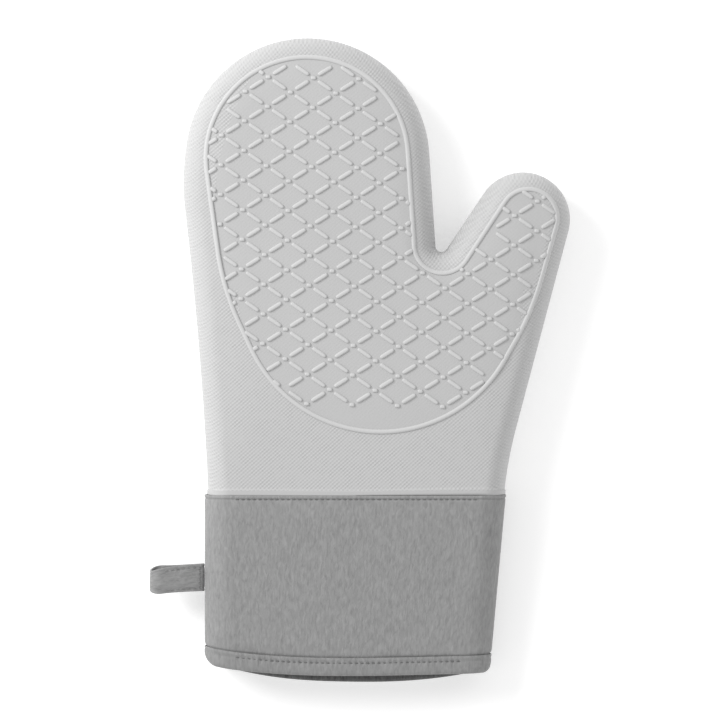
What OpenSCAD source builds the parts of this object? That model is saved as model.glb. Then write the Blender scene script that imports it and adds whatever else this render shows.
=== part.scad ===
// Silicone oven mitt with a sewn cotton cuff, lying on its back.
// x runs across the hand towards the thumb, y from the wrist seam up to the fingertips, z up.
// The origin is on the resting face, under the middle of the wrist seam.

/* [Hand] */
// Height of the fingertips above the wrist seam
hand_h = 228.8; // [190:0.1:275]
// Greatest width over the four fingers
finger_w = 124; // [103:0.1:149]
// Centre line of the fingers, left of the middle of the cuff
finger_x = -24; // [-30:1:-20]
// Radius of the side that swells from the flank to the dome of the fingers
shoulder_r = 120; // [100:1:160]
// Radius of the hollow of the long left flank
flank_r = 2000; // [1200:10:4000]
// Thickness of the whole mitt, from the lower relief to the upper one
depth = 34; // [30:0.5:41]
// How far in from its edge the hand curves down to its parting line
edge_r = 11; // [9:0.5:12]

/* [Thumb] */
// Radius of the thumb's tip
thumb_r = 23.5; // [21:0.1:28]
// From the crotch across to the middle of the thumb's tip
thumb_reach = 40.7; // [38:0.1:48]
// From the crotch up to the middle of the thumb's tip
thumb_rise = 13.3; // [8:0.1:20]
// Height of the crotch between fingers and thumb
crotch_h = 125; // [105:0.5:135]
// Radius at the bottom of the crotch
crotch_r = 3; // [2:0.5:5]
// Radius of the hollow between thumb and wrist
hollow_r = 220; // [150:5:300]

/* [Wrist] */
// Left half of the silicone's width at the wrist seam
wrist_left = 73.5; // [64:0.1:80]
// Right half of the silicone's width at the wrist seam
wrist_right = 74.2; // [64:0.1:80]
// Length of the silicone skirt that the cuff is sewn over
skirt_h = 8; // [6:0.5:11]
// How far the skirt is stepped in to make room for the cloth
skirt_step = 0.8; // [0.8:0.1:1]

/* [Silicone] */
// Wall of the silicone moulding
silicone_t = 2; // [1.8:0.1:2.4]
// Height of the raised bead
relief_h = 0.8; // [0.6:0.1:1]
// Width of the bead round the grip panel
bead_w = 2; // [1.5:0.1:3]
// Width of the plain border between the edge and the bead
border_w = 11; // [10:0.5:14]

/* [Lining] */
// Thickness of the backing cloth of the quilted lining
backing_t = 0.4; // [0.3:0.1:0.6]
// Thickness of the batting
batting_t = 3; // [2:0.1:3.6]
// Thickness of the inner cotton
lining_t = 0.5; // [0.3:0.1:0.7]
// How far the lining runs down past the wrist seam
lining_tail = 10; // [9:0.5:14]
// Distance between quilting rows
quilt_pitch = 22; // [18:1:28]

/* [Cuff] */
// Height of the cuff at its sides
cuff_h = 85; // [70:0.5:102]
// How much further the cuff reaches than the silicone at its left side
ease_left = 1.8; // [1.5:0.1:3]
// How much further the cuff reaches than the silicone at its right side
ease_right = 1.3; // [1.3:0.1:3]
// How much the right side draws in towards the hem
cuff_taper = 7.5; // [0:0.5:10]
// How much lower the front hem is in the middle than at the sides
hem_drop_front = 5.4; // [2:0.1:8]
// How much lower the back hem is in the middle than at the sides
hem_drop_back = 9.5; // [3:0.1:11]
// Radius of the rounded corners of the hem
hem_corner = 4; // [2:0.5:6]
// How far the front of the cuff sags towards the table at the hem
cuff_sag = 7; // [0:0.5:9]
// Thickness of the cuff's canvas
canvas_t = 1.1; // [0.8:0.1:1.2]
// Thickness of the facing inside the cuff
facing_t = 0.7; // [0.5:0.1:0.9]
// Height of the hem binding
binding_h = 9.5; // [8:0.5:12]
// Thickness of the hem binding
binding_t = 0.8; // [0.6:0.1:1]

/* [Loop] */
// Width of the loop's tape
tape_w = 13.8; // [10:0.1:17]
// Thickness of the loop's tape
tape_t = 1; // [0.8:0.1:1.2]
// Distance from the cuff's side to the far end of the loop
loop_reach = 27.5; // [22:0.1:34]
// Height of the loop's open bight
loop_bight = 10; // [8.5:0.1:12]
// Distance from the wrist seam down to the middle of the loop
loop_drop = 41; // [30:0.5:50]

/* [Thread] */
// Width of a stitch
thread_w = 0.6; // [0.4:0.05:0.8]
// Height that a stitch stands up
thread_h = 0.35; // [0.25:0.05:0.5]
// Distance from one stitch to the next
stitch_pitch = 2.8; // [2.4:0.1:4]
// Length of one stitch
stitch_l = 1.8; // [1.2:0.1:2.2]

/* [Clearances] */
// Space between two layers that lie on each other
ply_gap = 0.1; // [0.05:0.01:0.2]
// Space between the swinging loop and the cuff
swing_gap = 0.4; // [0.3:0.05:0.8]

/* [Hidden] */

// Rounding of the mesh: steps round a bend, steps from the parting line to the flat
turn_step = 9;
long_step = 40;
edge_steps = 4;

// Levels
mid_z = depth / 2;
hand_half = mid_z - relief_h;

// Insets of the layers inside the hand, each measured from the silicone's outside
backing_in = silicone_t + ply_gap;
batting_in = backing_in + backing_t + ply_gap;
lining_in = batting_in + batting_t + ply_gap;
cavity_in = lining_in + lining_t;

// Hand outline: circles [x, y, radius], clockwise from the left wrist; a negative radius is a hollow
dome_step = 1;
shoulder_drop = 11;
crotch_out = 5;
dome_r = finger_w / 2 - dome_step;
dome = [finger_x, hand_h - dome_r, dome_r];
shoulder = [finger_x - finger_w / 2 + shoulder_r, dome.y - shoulder_drop, shoulder_r];
flank = tangent_hollow([-wrist_left, 0], shoulder, flank_r);
crotch = [finger_x + finger_w / 2 + crotch_out, crotch_h, -crotch_r];
thumb = [crotch.x + thumb_reach, crotch_h + thumb_rise, thumb_r];
wrist_turn = 5.7;
hollow = [
    wrist_right + hollow_r * cos(wrist_turn),
    -hollow_r * sin(wrist_turn),
    -hollow_r
];
HAND = [flank, shoulder, dome, crotch, thumb, hollow];

// Grip panel outline, set in from the hand's own circles; the bowed sides [x, y, radius] are
// measured from the fingers' and the thumb's circle, and the lower end from the crotch
bow_left = [85.4, -26.6, 131];
bow_right = [-135.5, 12.4, 150];
panel_end = [-30.5, -22, 70.5];
thumb_out = 2;
thumb_narrower = 1.8;
thumb_border = border_w - thumb_narrower;
PANEL = [
    [dome.x + bow_left.x, dome.y + bow_left.y, bow_left[2]],
    [dome.x, dome.y, dome_r - border_w],
    [crotch.x, crotch.y, -(crotch_r + border_w)],
    [thumb.x + thumb_out, thumb.y, thumb_r - thumb_border],
    [thumb.x + bow_right.x, thumb.y + bow_right.y, bow_right[2]],
    [crotch.x + panel_end.x, crotch.y + panel_end.y, panel_end[2]]
];

// Cuff: insets [across, through] from its outside, at the places where its layers change level
cuff_edge_r = 14;
hem_in = binding_t + ply_gap;
canvas_in = canvas_t + ply_gap;
lining_clear = 0.35;
cuff_left = wrist_left + ease_left;
cuff_right = wrist_right + ease_right;
facing_top = [ease_left + cavity_in + lining_clear, relief_h + cavity_in + lining_clear];
facing_lap = 7;
facing_start = lining_tail - facing_lap;
facing_slope = 16;
binding_inner = hem_in + canvas_in + facing_t + ply_gap;
fold_r = (binding_inner + binding_t) / 2;
hem_ease = 4;
top_seam_in = 2.2;
hem_seam_in = 1.6;
groove_w = thread_w + 0.3;
groove_d = thread_h + ply_gap;

// The front sags from just below the silicone's skirt down to the hem
sag_from = skirt_h + 1;
sag_run = cuff_h + hem_drop_front - sag_from;
sag_angle = atan(cuff_sag / sag_run);

// Loop
loop_root_r = tape_t + ply_gap;
loop_axis_x = -cuff_left - swing_gap - loop_root_r;
loop_end_r = loop_bight / 2;
loop_end_x = -cuff_left - loop_reach + loop_end_r;

// ---------- outlines ----------

// Into the range from -5 to 355 degrees
function turn(a) = a - 360 * floor((a + 5) / 360);

// Outward direction of the straight run from circle a to circle b
function run_normal(a, b) =
    let (v = [b.x - a.x, b.y - a.y])
    atan2(v.y, v.x) + acos(max(-1, min(1, (a[2] - b[2]) / norm(v))));

// Hollow circle of radius r that passes point p and touches circle c from outside, on its left
function tangent_hollow(p, c, r) =
    let (
        v = [c.x - p.x, c.y - p.y],
        d = norm(v),
        along = (r * r - (r + c[2]) * (r + c[2]) + d * d) / (2 * d),
        side = sqrt(r * r - along * along),
        u = v / d
    )
    [p.x + along * u.x - side * u.y, p.y + along * u.y + side * u.x, -r];

// Where an arc that starts at direction a0 ends, turning the way its radius says
function arc_end(c, a0, a1) = c[2] > 0 ? a0 - turn(a0 - a1) : a0 + turn(a1 - a0);

// Number of steps along an arc
function arc_steps(c, sweep) =
    max(2, ceil(abs(sweep) / turn_step), ceil(abs(sweep * PI / 180 * c[2]) / long_step));

// Points of one arc, moved in by d
function arc_points(c, a0, a1, d, steps) =
    [for (k = [0:steps]) let (a = a0 + (a1 - a0) * k / steps)
        [c.x + (c[2] - d) * cos(a), c.y + (c[2] - d) * sin(a)]];

// Outward direction of the first and last circle where they cross height y
function left_start(c, y, d) = 180 - asin((y - c.y) / (c[2] - d));
function right_end(c, y, d) = asin((y - c.y) / (c[2] - d));

// Hand outline moved in by d, from the left wrist over the fingers and thumb to height y
function hand_arc(i, y, d) =
    let (
        last = len(HAND) - 1,
        c = HAND[i],
        a0 = i == 0 ? left_start(c, y, d) : run_normal(HAND[i - 1], c),
        a1 = i == last ? right_end(c, y, d) : run_normal(c, HAND[i + 1])
    )
    [a0, arc_end(c, a0, a1)];
function hand_outline(y, d) =
    [for (i = [0:len(HAND) - 1]) let (
        plain = hand_arc(i, 0, 0),
        a = hand_arc(i, y, d)
    ) each arc_points(HAND[i], a[0], a[1], d, arc_steps(HAND[i], plain[1] - plain[0]))];

// Places across the hand of both ends of the outline
function hand_ends(y, d) =
    let (
        first = HAND[0],
        last = HAND[len(HAND) - 1],
        a = left_start(first, y, d),
        b = right_end(last, y, d)
    )
    [first.x + (first[2] - d) * cos(a), last.x + (last[2] - d) * cos(b)];

// How many outline points come before circle i
function points_before(i) = i == 0 ? 0 :
    let (a = hand_arc(i - 1, 0, 0))
    points_before(i - 1) + arc_steps(HAND[i - 1], a[1] - a[0]) + 1;

// Closed outline round a list of circles, moved in by d
function loop_outline(circles, d) =
    let (n = len(circles))
    [for (i = [0:n - 1]) let (
        c = circles[i],
        a0 = run_normal(circles[(i + n - 1) % n], c),
        a1 = arc_end(c, a0, run_normal(c, circles[(i + 1) % n]))
    ) each arc_points(c, a0, a1, d, arc_steps(c, a1 - a0))];

// ---------- hand-shaped solids ----------

CROTCH_START = points_before(3);
CROTCH_END = points_before(4) - 1;
HAND_POINTS = points_before(6);

// The flat face of a ring is cut into three fans, each one seen whole from its first corner
function flat_fans(first) = [
    [first + CROTCH_START, for (i = [0:CROTCH_START - 1]) first + i],
    [first, for (i = [CROTCH_START:CROTCH_END]) first + i, first + HAND_POINTS - 1],
    [for (i = [CROTCH_END:HAND_POINTS - 1]) first + i]
];

// The same face seen from its other side, with the same first corner
function flipped(face) = [face[0], for (i = [len(face) - 1:-1:1]) face[i]];

function reversed(list) = [for (i = [len(list) - 1:-1:0]) list[i]];

// Faces between two lines of points, given by their numbers
function strip(a, b) = [for (i = [0:len(a) - 2]) each [
    [a[i], a[i + 1], b[i + 1]],
    [a[i], b[i + 1], b[i]]
]];

// Numbers of the points of ring k, and of the ends of all rings at the mouth
function ring(first, k) = [for (i = [0:HAND_POINTS - 1]) first + k * HAND_POINTS + i];
function mouth(first, rings) = [
    for (k = [0:rings - 1]) first + k * HAND_POINTS,
    for (k = [rings - 1:-1:0]) first + k * HAND_POINTS + HAND_POINTS - 1
];

// Points of rings [inset, z] that end at height y, and of their ends alone
function ring_points(rings, y) =
    [for (r = rings) each [for (p = hand_outline(y, r[0])) [p.x, p.y, r[1]]]];
function mouth_points(rings, y) =
    let (ends = [for (r = rings) hand_ends(y, r[0])])
    [
        for (k = [0:len(rings) - 1]) [ends[k][0], y, rings[k][1]],
        for (k = [len(rings) - 1:-1:0]) [ends[k][1], y, rings[k][1]]
    ];

// Skin of rings that runs outwards; whole skins have two flat faces, half skins only their last
function skin(first, rings, whole) = concat(
    [for (k = [0:rings - 2]) each strip(ring(first, k), ring(first, k + 1))],
    flat_fans(first + (rings - 1) * HAND_POINTS),
    whole ? [for (fan = flat_fans(first)) flipped(fan)] : []
);

// Wall between an outer and an inner skin; steps are [rings, y] of the ledges at the mouth
module hand_wall(outer, y_outer, inner, y_inner, steps, whole) {
    n = len(outer);
    inside = n * HAND_POINTS;
    ledges = 2 * inside;
    lines = [
        mouth(0, n),
        for (s = [0:1:len(steps) - 1]) [for (i = [0:2 * n - 1]) ledges + 2 * n * s + i],
        mouth(inside, n)
    ];
    rims = [for (i = [0:len(lines) - 2]) let (
        a = whole ? concat(lines[i], [lines[i][0]]) : lines[i],
        b = whole ? concat(lines[i + 1], [lines[i + 1][0]]) : lines[i + 1]
    ) each strip(a, b)];
    parting = whole ? [] : strip(ring(inside, 0), ring(0, 0));
    polyhedron(
        points = concat(
            ring_points(outer, y_outer),
            ring_points(inner, y_inner),
            [for (s = steps) each mouth_points(s[0], s[1])]
        ),
        faces = concat(
            skin(0, n, whole),
            [for (f = skin(inside, n, whole)) flipped(f)],
            rims,
            parting
        )
    );
}

// Ring at a turn of a degrees from the parting line to the flat, moved in by d
function edge_ring(d, a) = [d + (edge_r - d) * (1 - cos(a)), mid_z + (hand_half - d) * sin(a)];

// Rings of the whole hand, and of its upper (side 1) or lower (side -1) half
function hand_rings(d) = [for (k = [-edge_steps:edge_steps]) edge_ring(d, 90 * k / edge_steps)];
function half_rings(d, side) = [
    [d, mid_z + side * ply_gap / 2],
    for (k = [1:edge_steps]) edge_ring(d, side * 90 * k / edge_steps)
];

// One layer of one side, from inset d to inset d + t; the lower side is the upper one turned over
module hand_layer(d, t, side) {
    outer = half_rings(d, 1);
    inner = half_rings(d + t, 1);
    if (side > 0)
        hand_wall(outer, -lining_tail, inner, -lining_tail, [], false);
    else
        translate([0, 0, depth])
            mirror([0, 0, 1])
                hand_wall(outer, -lining_tail, inner, -lining_tail, [], false);
}

// ---------- cuff-shaped solids ----------

// Position round half of the cuff's section: u from 0 at the left seam to 1 at the right seam
bend_steps = 5;
flat_steps = 9;
CUFF_U = concat(
    [for (k = [0:bend_steps]) [0, 90 * k / bend_steps]],
    [for (k = [1:flat_steps - 1]) [k / flat_steps, 90]],
    [for (k = [bend_steps:-1:0]) [1, 90 * k / bend_steps]]
);

function sag_at(y, side) = side > 0 ? cuff_sag * max(0, -y - sag_from) / sag_run : 0;

function cuff_right_at(y) = cuff_right + cuff_taper * y / cuff_h;

// Lowest edge of the hem at width x; side 1 is the front, -1 the back
function hem_y(x, side) =
    let (
        left = -cuff_left,
        right = cuff_right - cuff_taper,
        s = (2 * x - left - right) / (right - left),
        drop = side > 0 ? hem_drop_front : hem_drop_back,
        out = max(0, abs(s) * (right - left) / 2 - (right - left) / 2 + hem_corner),
        c = min(1, out / hem_corner)
    )
    -cuff_h - drop * (1 - s * s) + hem_corner * (1 - sqrt(1 - c * c));

// Point of the cuff's section at height y, moved in by [across, through]
function cuff_point(u, y, t, side) =
    let (
        l = -cuff_left + t.x,
        r = cuff_right_at(y) - t.x,
        e = cuff_edge_r - t.x,
        h = (mid_z - t.y - sag_at(y, side)) * sin(u[1]),
        x = u[1] < 90
            ? (u[0] < 0.5 ? l + e * (1 - cos(u[1])) : r - e * (1 - cos(u[1])))
            : l + e + (r - l - 2 * e) * u[0]
    )
    [x, y, mid_z + side * max(h, ply_gap / 2)];

// Height of a station: [0, a] lies a below the wrist seam, [1, a] lies a above the hem
function station_y(s, x, side) = s[0] == 0 ? -s[1] : hem_y(x, side) + s[1];

// A station's point; all layers take the hem's height where the cuff's outside lies
function station_point(u, s, t, side) =
    let (
        x = cuff_point(u, -cuff_h, [0, 0], side).x,
        y = station_y(s, x, side)
    )
    cuff_point(u, y, t, side);

// Solid between two grids of points; the grids are closed on themselves across when ring is true
module cloth_solid(outer, inner, ring) {
    n = len(outer);
    m = len(outer[0]);
    across = ring ? n : n - 1;
    inside = n * m;
    walls = [for (i = [0:across - 1], j = [0:m - 2]) let (a = i * m + j, b = ((i + 1) % n) * m + j)
        each [
            [a, b, b + 1], [a, b + 1, a + 1],
            [inside + a, inside + b + 1, inside + b], [inside + a, inside + a + 1, inside + b + 1]
        ]];
    edges = [for (i = [0:across - 1]) let (a = i * m, b = ((i + 1) % n) * m, c = a + m - 1, d = b + m - 1)
        each [
            [a, inside + a, b], [b, inside + a, inside + b],
            [c, d, inside + c], [d, inside + d, inside + c]
        ]];
    last = (n - 1) * m;
    ends = ring ? [] : [for (j = [0:m - 2]) each [
        [j, j + 1, inside + j], [inside + j, j + 1, inside + j + 1],
        [last + j, inside + last + j, last + j + 1],
        [inside + last + j, inside + last + j + 1, last + j + 1]
    ]];
    polyhedron(points = concat([for (r = outer) each r], [for (r = inner) each r]),
        faces = concat(walls, edges, ends));
}

// One panel of the cuff; each layer is [station, inset], and t is the cloth's thickness
module cuff_panel(layers, t, side) {
    us = side > 0 ? CUFF_U : reversed(CUFF_U);
    outer = [for (u = us) [for (l = layers) station_point(u, l[0], l[1], side)]];
    inner = [for (u = us) [for (l = layers) station_point(u, l[0], l[1] + [t, t], side)]];
    cloth_solid(outer, inner, false);
}

// ---------- stitches ----------

// One stitch, lying along x
module stitch_bar(l, w) {
    translate([-l / 2, -w / 2, 0])
        cube([l, w, thread_h]);
}

// Places of the stitches across the flat of the cuff, at its top edge and at its hem
row_margin = 1.5;
stitch_from = -cuff_left + cuff_edge_r + row_margin;
stitch_to = cuff_right - cuff_edge_r - row_margin;
stitch_n = floor((stitch_to - stitch_from - stitch_l) / stitch_pitch);
STITCH_X = [for (i = [0:stitch_n]) stitch_from + stitch_l / 2 + i * stitch_pitch];

hem_to = stitch_to - cuff_taper;
hem_n = floor((hem_to - stitch_from - stitch_l) / stitch_pitch);
HEM_X = [for (i = [0:hem_n]) stitch_from + stitch_l / 2 + i * stitch_pitch];

// Places a child on the cuff's outside at x, y and inset d, facing out; turn is about the face's normal
module on_cuff(x, y, d, side, turn = 0) {
    low = sag_at(y, side);
    translate([x, y, side > 0 ? depth - d - low : d])
        rotate([side < 0 ? 180 : low > 0 ? sag_angle : 0, 0, 0])
            rotate([0, 0, side * turn])
                children();
}

// Direction of the hem's edge at x
function hem_turn(x, side) = atan((hem_y(x + 0.5, side) - hem_y(x - 0.5, side)));

// Groove that the top stitches lie in
groove_open = 2;
module top_groove(side) {
    middle = (stitch_from + stitch_to) / 2;
    on_cuff(middle, -top_seam_in, groove_d, side)
        translate([-(stitch_to - stitch_from) / 2, -groove_w / 2, 0])
            cube([stitch_to - stitch_from, groove_w, groove_open]);
}

// Walks along a closed or open line and gives [x, y, direction] every pitch
function walk(line, pitch) =
    [for (i = [0:len(line) - 2]) let (
        v = line[i + 1] - line[i],
        n = floor(norm(v) / pitch)
    ) if (n > 0) for (k = [0:n - 1]) let (p = line[i] + v * (k + 0.5) / n) [p.x, p.y, atan2(v.y, v.x)]];

// ---------- parts ----------

// Raised bead on one side
module bead(side) {
    sunk = 1;
    translate([0, 0, side > 0 ? depth - relief_h - sunk : 0])
        linear_extrude(relief_h + sunk)
            difference() {
                polygon(loop_outline(PANEL, -bead_w / 2));
                polygon(loop_outline(PANEL, bead_w / 2));
            }
}

// The moulding is one wall with a bead on both faces; resize keeps each size as it is
KEEP_SIZE = [0, 0, 0];
module silicone_shell() {
    stepped = hand_rings(skirt_step);
    color("#dcdcdc")
        resize(KEEP_SIZE) {
            hand_wall(
                hand_rings(0), 0,
                hand_rings(silicone_t), -skirt_h,
                [[stepped, 0], [stepped, -skirt_h]],
                true
            );
            bead(1);
            bead(-1);
        }
}

module backing_front() { color("#f2f0ea") hand_layer(backing_in, backing_t, 1); }
module backing_back() { color("#f2f0ea") hand_layer(backing_in, backing_t, -1); }
module batting_front() { color("#ffffff") hand_layer(batting_in, batting_t, 1); }
module batting_back() { color("#ffffff") hand_layer(batting_in, batting_t, -1); }
module lining_front() { color("#c9c9c6") hand_layer(lining_in, lining_t, 1); }
module lining_back() { color("#c9c9c6") hand_layer(lining_in, lining_t, -1); }

// Rows of quilting stitches on the inner cotton, along the fingers
quilt_stitch = 4;
quilt_step = 8;
quilt_start = 4;
quilt_margin = 12;
quilt_reach = dome_r - cavity_in - quilt_margin;
quilt_side = wrist_left + finger_x - cavity_in - quilt_margin;
quilt_rows = floor(min(quilt_reach, quilt_side) / quilt_pitch);
module quilting_thread(side) {
    half = hand_half - cavity_in - ply_gap;
    for (row = [-quilt_rows:quilt_rows]) {
        x = finger_x + row * quilt_pitch;
        top = dome.y + sqrt(pow(quilt_reach, 2) - pow(row * quilt_pitch, 2));
        for (y = [quilt_start:quilt_step:top])
            translate([x, y, side > 0 ? mid_z + half - thread_h : mid_z - half])
                rotate([0, 0, 90])
                    stitch_bar(quilt_stitch, thread_w);
    }
}
module quilting_thread_front() { color("#e8e8e4") quilting_thread(1); }
module quilting_thread_back() { color("#e8e8e4") quilting_thread(-1); }

// Overcast stitches that join the two sides of the lining along the parting line
seam_l = 3;
seam_pitch = 6;
seam_gap = 0.25;
module lining_edge_seam() {
    color("#e8e8e4")
        for (p = walk(hand_outline(0, cavity_in + seam_gap + thread_h / 2), seam_pitch))
            translate([p.x, p.y, mid_z - seam_l / 2])
                rotate([0, 0, p[2]])
                    translate([-thread_w / 2, -thread_h / 2, 0])
                        cube([thread_w, thread_h, seam_l]);
}

canvas_layers = [
    [[0, ply_gap], [0, 0]],
    [[0, sag_from], [0, 0]],
    [[1, binding_h + hem_ease], [0, 0]],
    [[1, binding_h + ply_gap], [hem_in, hem_in]],
    [[1, fold_r], [hem_in, hem_in]]
];
facing_layers = [
    [[0, facing_start], facing_top],
    [[0, lining_tail + 1], facing_top],
    [[0, lining_tail + facing_slope], [canvas_in, canvas_in]],
    [[1, binding_h + hem_ease], [canvas_in, canvas_in]],
    [[1, binding_h + ply_gap], [hem_in + canvas_in, hem_in + canvas_in]],
    [[1, fold_r], [hem_in + canvas_in, hem_in + canvas_in]]
];

module cuff_canvas(side) {
    difference() {
        cuff_panel(canvas_layers, canvas_t, side);
        top_groove(side);
    }
}
module cuff_front() { color("#9b9b9b") cuff_canvas(1); }
module cuff_back() { color("#9b9b9b") cuff_canvas(-1); }
module cuff_facing_front() { color("#8e8e8e") cuff_panel(facing_layers, facing_t, 1); }
module cuff_facing_back() { color("#8e8e8e") cuff_panel(facing_layers, facing_t, -1); }

// Tape folded over the mouth: outer leg, fold and inner leg
FOLD = [30:30:150];
binding_line = [
    [binding_h, 0],
    [fold_r, 0],
    for (a = FOLD) [fold_r - fold_r * sin(a), fold_r - fold_r * cos(a)],
    [fold_r, 2 * fold_r],
    [binding_h, 2 * fold_r]
];
lift_r = fold_r - binding_t;
binding_back_line = [
    [binding_h, binding_t],
    [fold_r, binding_t],
    for (a = FOLD) [fold_r - lift_r * sin(a), fold_r - lift_r * cos(a)],
    [fold_r, 2 * fold_r - binding_t],
    [binding_h, 2 * fold_r - binding_t]
];
RING_U = concat(
    [for (u = CUFF_U) [u, 1]],
    [for (i = [len(CUFF_U) - 2:-1:1]) [CUFF_U[i], -1]]
);
function ring_point(u, l) =
    let (
        p = station_point(u[0], [1, l[0]], [l[1], l[1]], u[1]),
        at_seam = u[0][1] == 0
    )
    [p.x, p.y, at_seam ? mid_z : p.z];

module hem_binding() {
    outer = [for (u = RING_U) [for (l = binding_line) ring_point(u, l)]];
    inner = [for (u = RING_U) [for (l = binding_back_line) ring_point(u, l)]];
    color("#959595")
        cloth_solid(outer, inner, true);
}

module cuff_top_stitching() {
    color("#5f5f5f")
        for (side = [-1, 1], x = STITCH_X)
            on_cuff(x, -top_seam_in, groove_d - ply_gap / 2, side)
                stitch_bar(stitch_l, thread_w);
}

// The hem stitches lie on the front of the binding, and inside its inner leg at the back
module hem_stitching() {
    color("#7c7c7c")
        for (x = HEM_X)
            on_cuff(x, hem_y(x, 1) + binding_h - hem_seam_in, -ply_gap, 1, hem_turn(x, 1))
                stitch_bar(stitch_l, thread_w);
}

// Stitches across the parting line on one side of the cuff; the loop's own place is left free
side_start = 4;
side_step = 3.4;
side_stitch_l = 2.4;
loop_margin = 1.5;
module side_seam(x, lean, free) {
    for (y = [-side_start:-side_step:-cuff_h + binding_h + hem_ease])
        if (!free || abs(y + loop_drop) > tape_w / 2 + loop_margin)
            translate([x(y), y, mid_z])
                rotate([0, 0, lean])
                    cube([thread_h, thread_w, side_stitch_l], center = true);
}
module side_seam_left() {
    color("#7c7c7c")
        side_seam(function (y) -cuff_left - thread_h / 2 - ply_gap, 0, true);
}
module side_seam_right() {
    color("#7c7c7c")
        side_seam(
            function (y) cuff_right_at(y) + thread_h / 2 + ply_gap,
            -atan(cuff_taper / cuff_h),
            false
        );
}

// Side view of the folded tape: a drop that is pinched at the seam and open at its far end
LOOP = [[loop_axis_x, 0, loop_root_r], [loop_end_x, 0, loop_end_r]];
module hanging_loop() {
    color("#949494")
        translate([0, -loop_drop + tape_w / 2, mid_z])
            rotate([90, 0, 0])
                linear_extrude(tape_w)
                    difference() {
                        polygon(loop_outline(LOOP, 0));
                        polygon(loop_outline(LOOP, tape_t));
                    }
}

// Places a child on the upper face of the loop, s of the way from its root to its far end
loop_run = LOOP[0].x - LOOP[1].x;
loop_slope = asin((loop_end_r - loop_root_r) / loop_run);
module on_loop(s, y, side) {
    x = loop_axis_x - loop_run * s;
    r = loop_root_r + (loop_end_r - loop_root_r) * s;
    translate([x + r * sin(loop_slope), y - loop_drop, mid_z + side * r * cos(loop_slope)])
        rotate([0, side * loop_slope, 0])
            translate([0, 0, side > 0 ? ply_gap : -ply_gap - thread_h])
                children();
}

loop_seam_start = 4.5;
loop_seam_in = 1.6;
loop_stitch_n = floor((loop_run - loop_seam_start) / stitch_pitch);
module loop_topstitching() {
    color("#7c7c7c")
        for (side = [-1, 1], edge = [-1, 1], i = [0:loop_stitch_n - 1])
            on_loop((loop_seam_start + i * stitch_pitch) / loop_run, edge * (tape_w / 2 - loop_seam_in), side)
                stitch_bar(stitch_l, thread_w);
}

tack_place = 1.4;
tack_pitch = 1.2;
tack_l = 1.6;
tack_turn = 20;
tack_n = floor((tape_w / 2 - loop_seam_in) / tack_pitch);
module loop_bartack() {
    color("#6c6c6c")
        for (side = [-1, 1], i = [-tack_n:tack_n])
            on_loop(tack_place / loop_run, i * tack_pitch, side)
                rotate([0, 0, i % 2 == 0 ? tack_turn : -tack_turn])
                    stitch_bar(tack_l, thread_w);
}

silicone_shell();
backing_front();
backing_back();
batting_front();
batting_back();
lining_front();
lining_back();
quilting_thread_front();
quilting_thread_back();
lining_edge_seam();
cuff_front();
cuff_back();
cuff_facing_front();
cuff_facing_back();
hem_binding();
cuff_top_stitching();
hem_stitching();
side_seam_left();
side_seam_right();
hanging_loop();
loop_topstitching();
loop_bartack();
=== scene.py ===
"""A moulded silicone oven mitt with a sewn cotton cuff, lying on its back on a pale table.

Sizes are in millimetres until a mesh is made, and x, y and z are the frame's own axes.
"""
from __future__ import annotations

import logging
from dataclasses import dataclass, field
from enum import Enum

import bmesh
import bpy
import numpy as np
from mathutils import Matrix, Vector


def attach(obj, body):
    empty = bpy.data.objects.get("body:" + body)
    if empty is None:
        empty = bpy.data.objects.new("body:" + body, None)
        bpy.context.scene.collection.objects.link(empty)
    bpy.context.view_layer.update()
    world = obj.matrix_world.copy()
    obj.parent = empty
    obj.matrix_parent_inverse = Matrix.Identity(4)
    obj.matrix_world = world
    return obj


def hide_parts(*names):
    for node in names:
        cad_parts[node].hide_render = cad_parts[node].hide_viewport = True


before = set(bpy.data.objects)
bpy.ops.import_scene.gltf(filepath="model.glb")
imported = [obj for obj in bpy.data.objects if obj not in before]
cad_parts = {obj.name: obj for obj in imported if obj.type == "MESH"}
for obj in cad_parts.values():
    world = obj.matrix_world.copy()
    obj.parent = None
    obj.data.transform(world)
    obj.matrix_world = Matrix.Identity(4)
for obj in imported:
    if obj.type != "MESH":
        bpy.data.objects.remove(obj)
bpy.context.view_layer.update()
MM = 0.001
STITCH_PITCH = 2.8  # from one stitch to the next
STITCH_START = 58.4  # how far left of the middle a row begins
log = logging.getLogger("mitt")


class Side(Enum):
    """The two faces of the mitt; the value is the direction in which a face looks."""

    FRONT = 1
    BACK = -1


class Weave(Enum):
    """How a cloth's surface is made."""

    CREPE = "crepe"
    PLAIN = "plain"
    FLEECE = "fleece"


# ---------------------------------------------------------------- meshes


@dataclass
class Skin:
    """A set of points with the faces between them, before it becomes a Blender mesh.

    points is (n, 3) in millimetres, quads (m, 4), caps a list of longer faces, uv (n, 2) in
    millimetres along the cloth, inner (n,) is 1 on the flat of the hand and 0 on its edge (on the hem
    tape it is 1 on the inner leg, which the cloth finish paints darker as painted shade), and raised
    (n,) is 1 on the grip's own relief, which the silicone finish paints lighter as painted highlight.
    """

    points: np.ndarray
    quads: np.ndarray
    caps: list[list[int]] = field(default_factory=list)
    uv: np.ndarray | None = None
    inner: np.ndarray | None = None
    raised: np.ndarray | None = None


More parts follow.
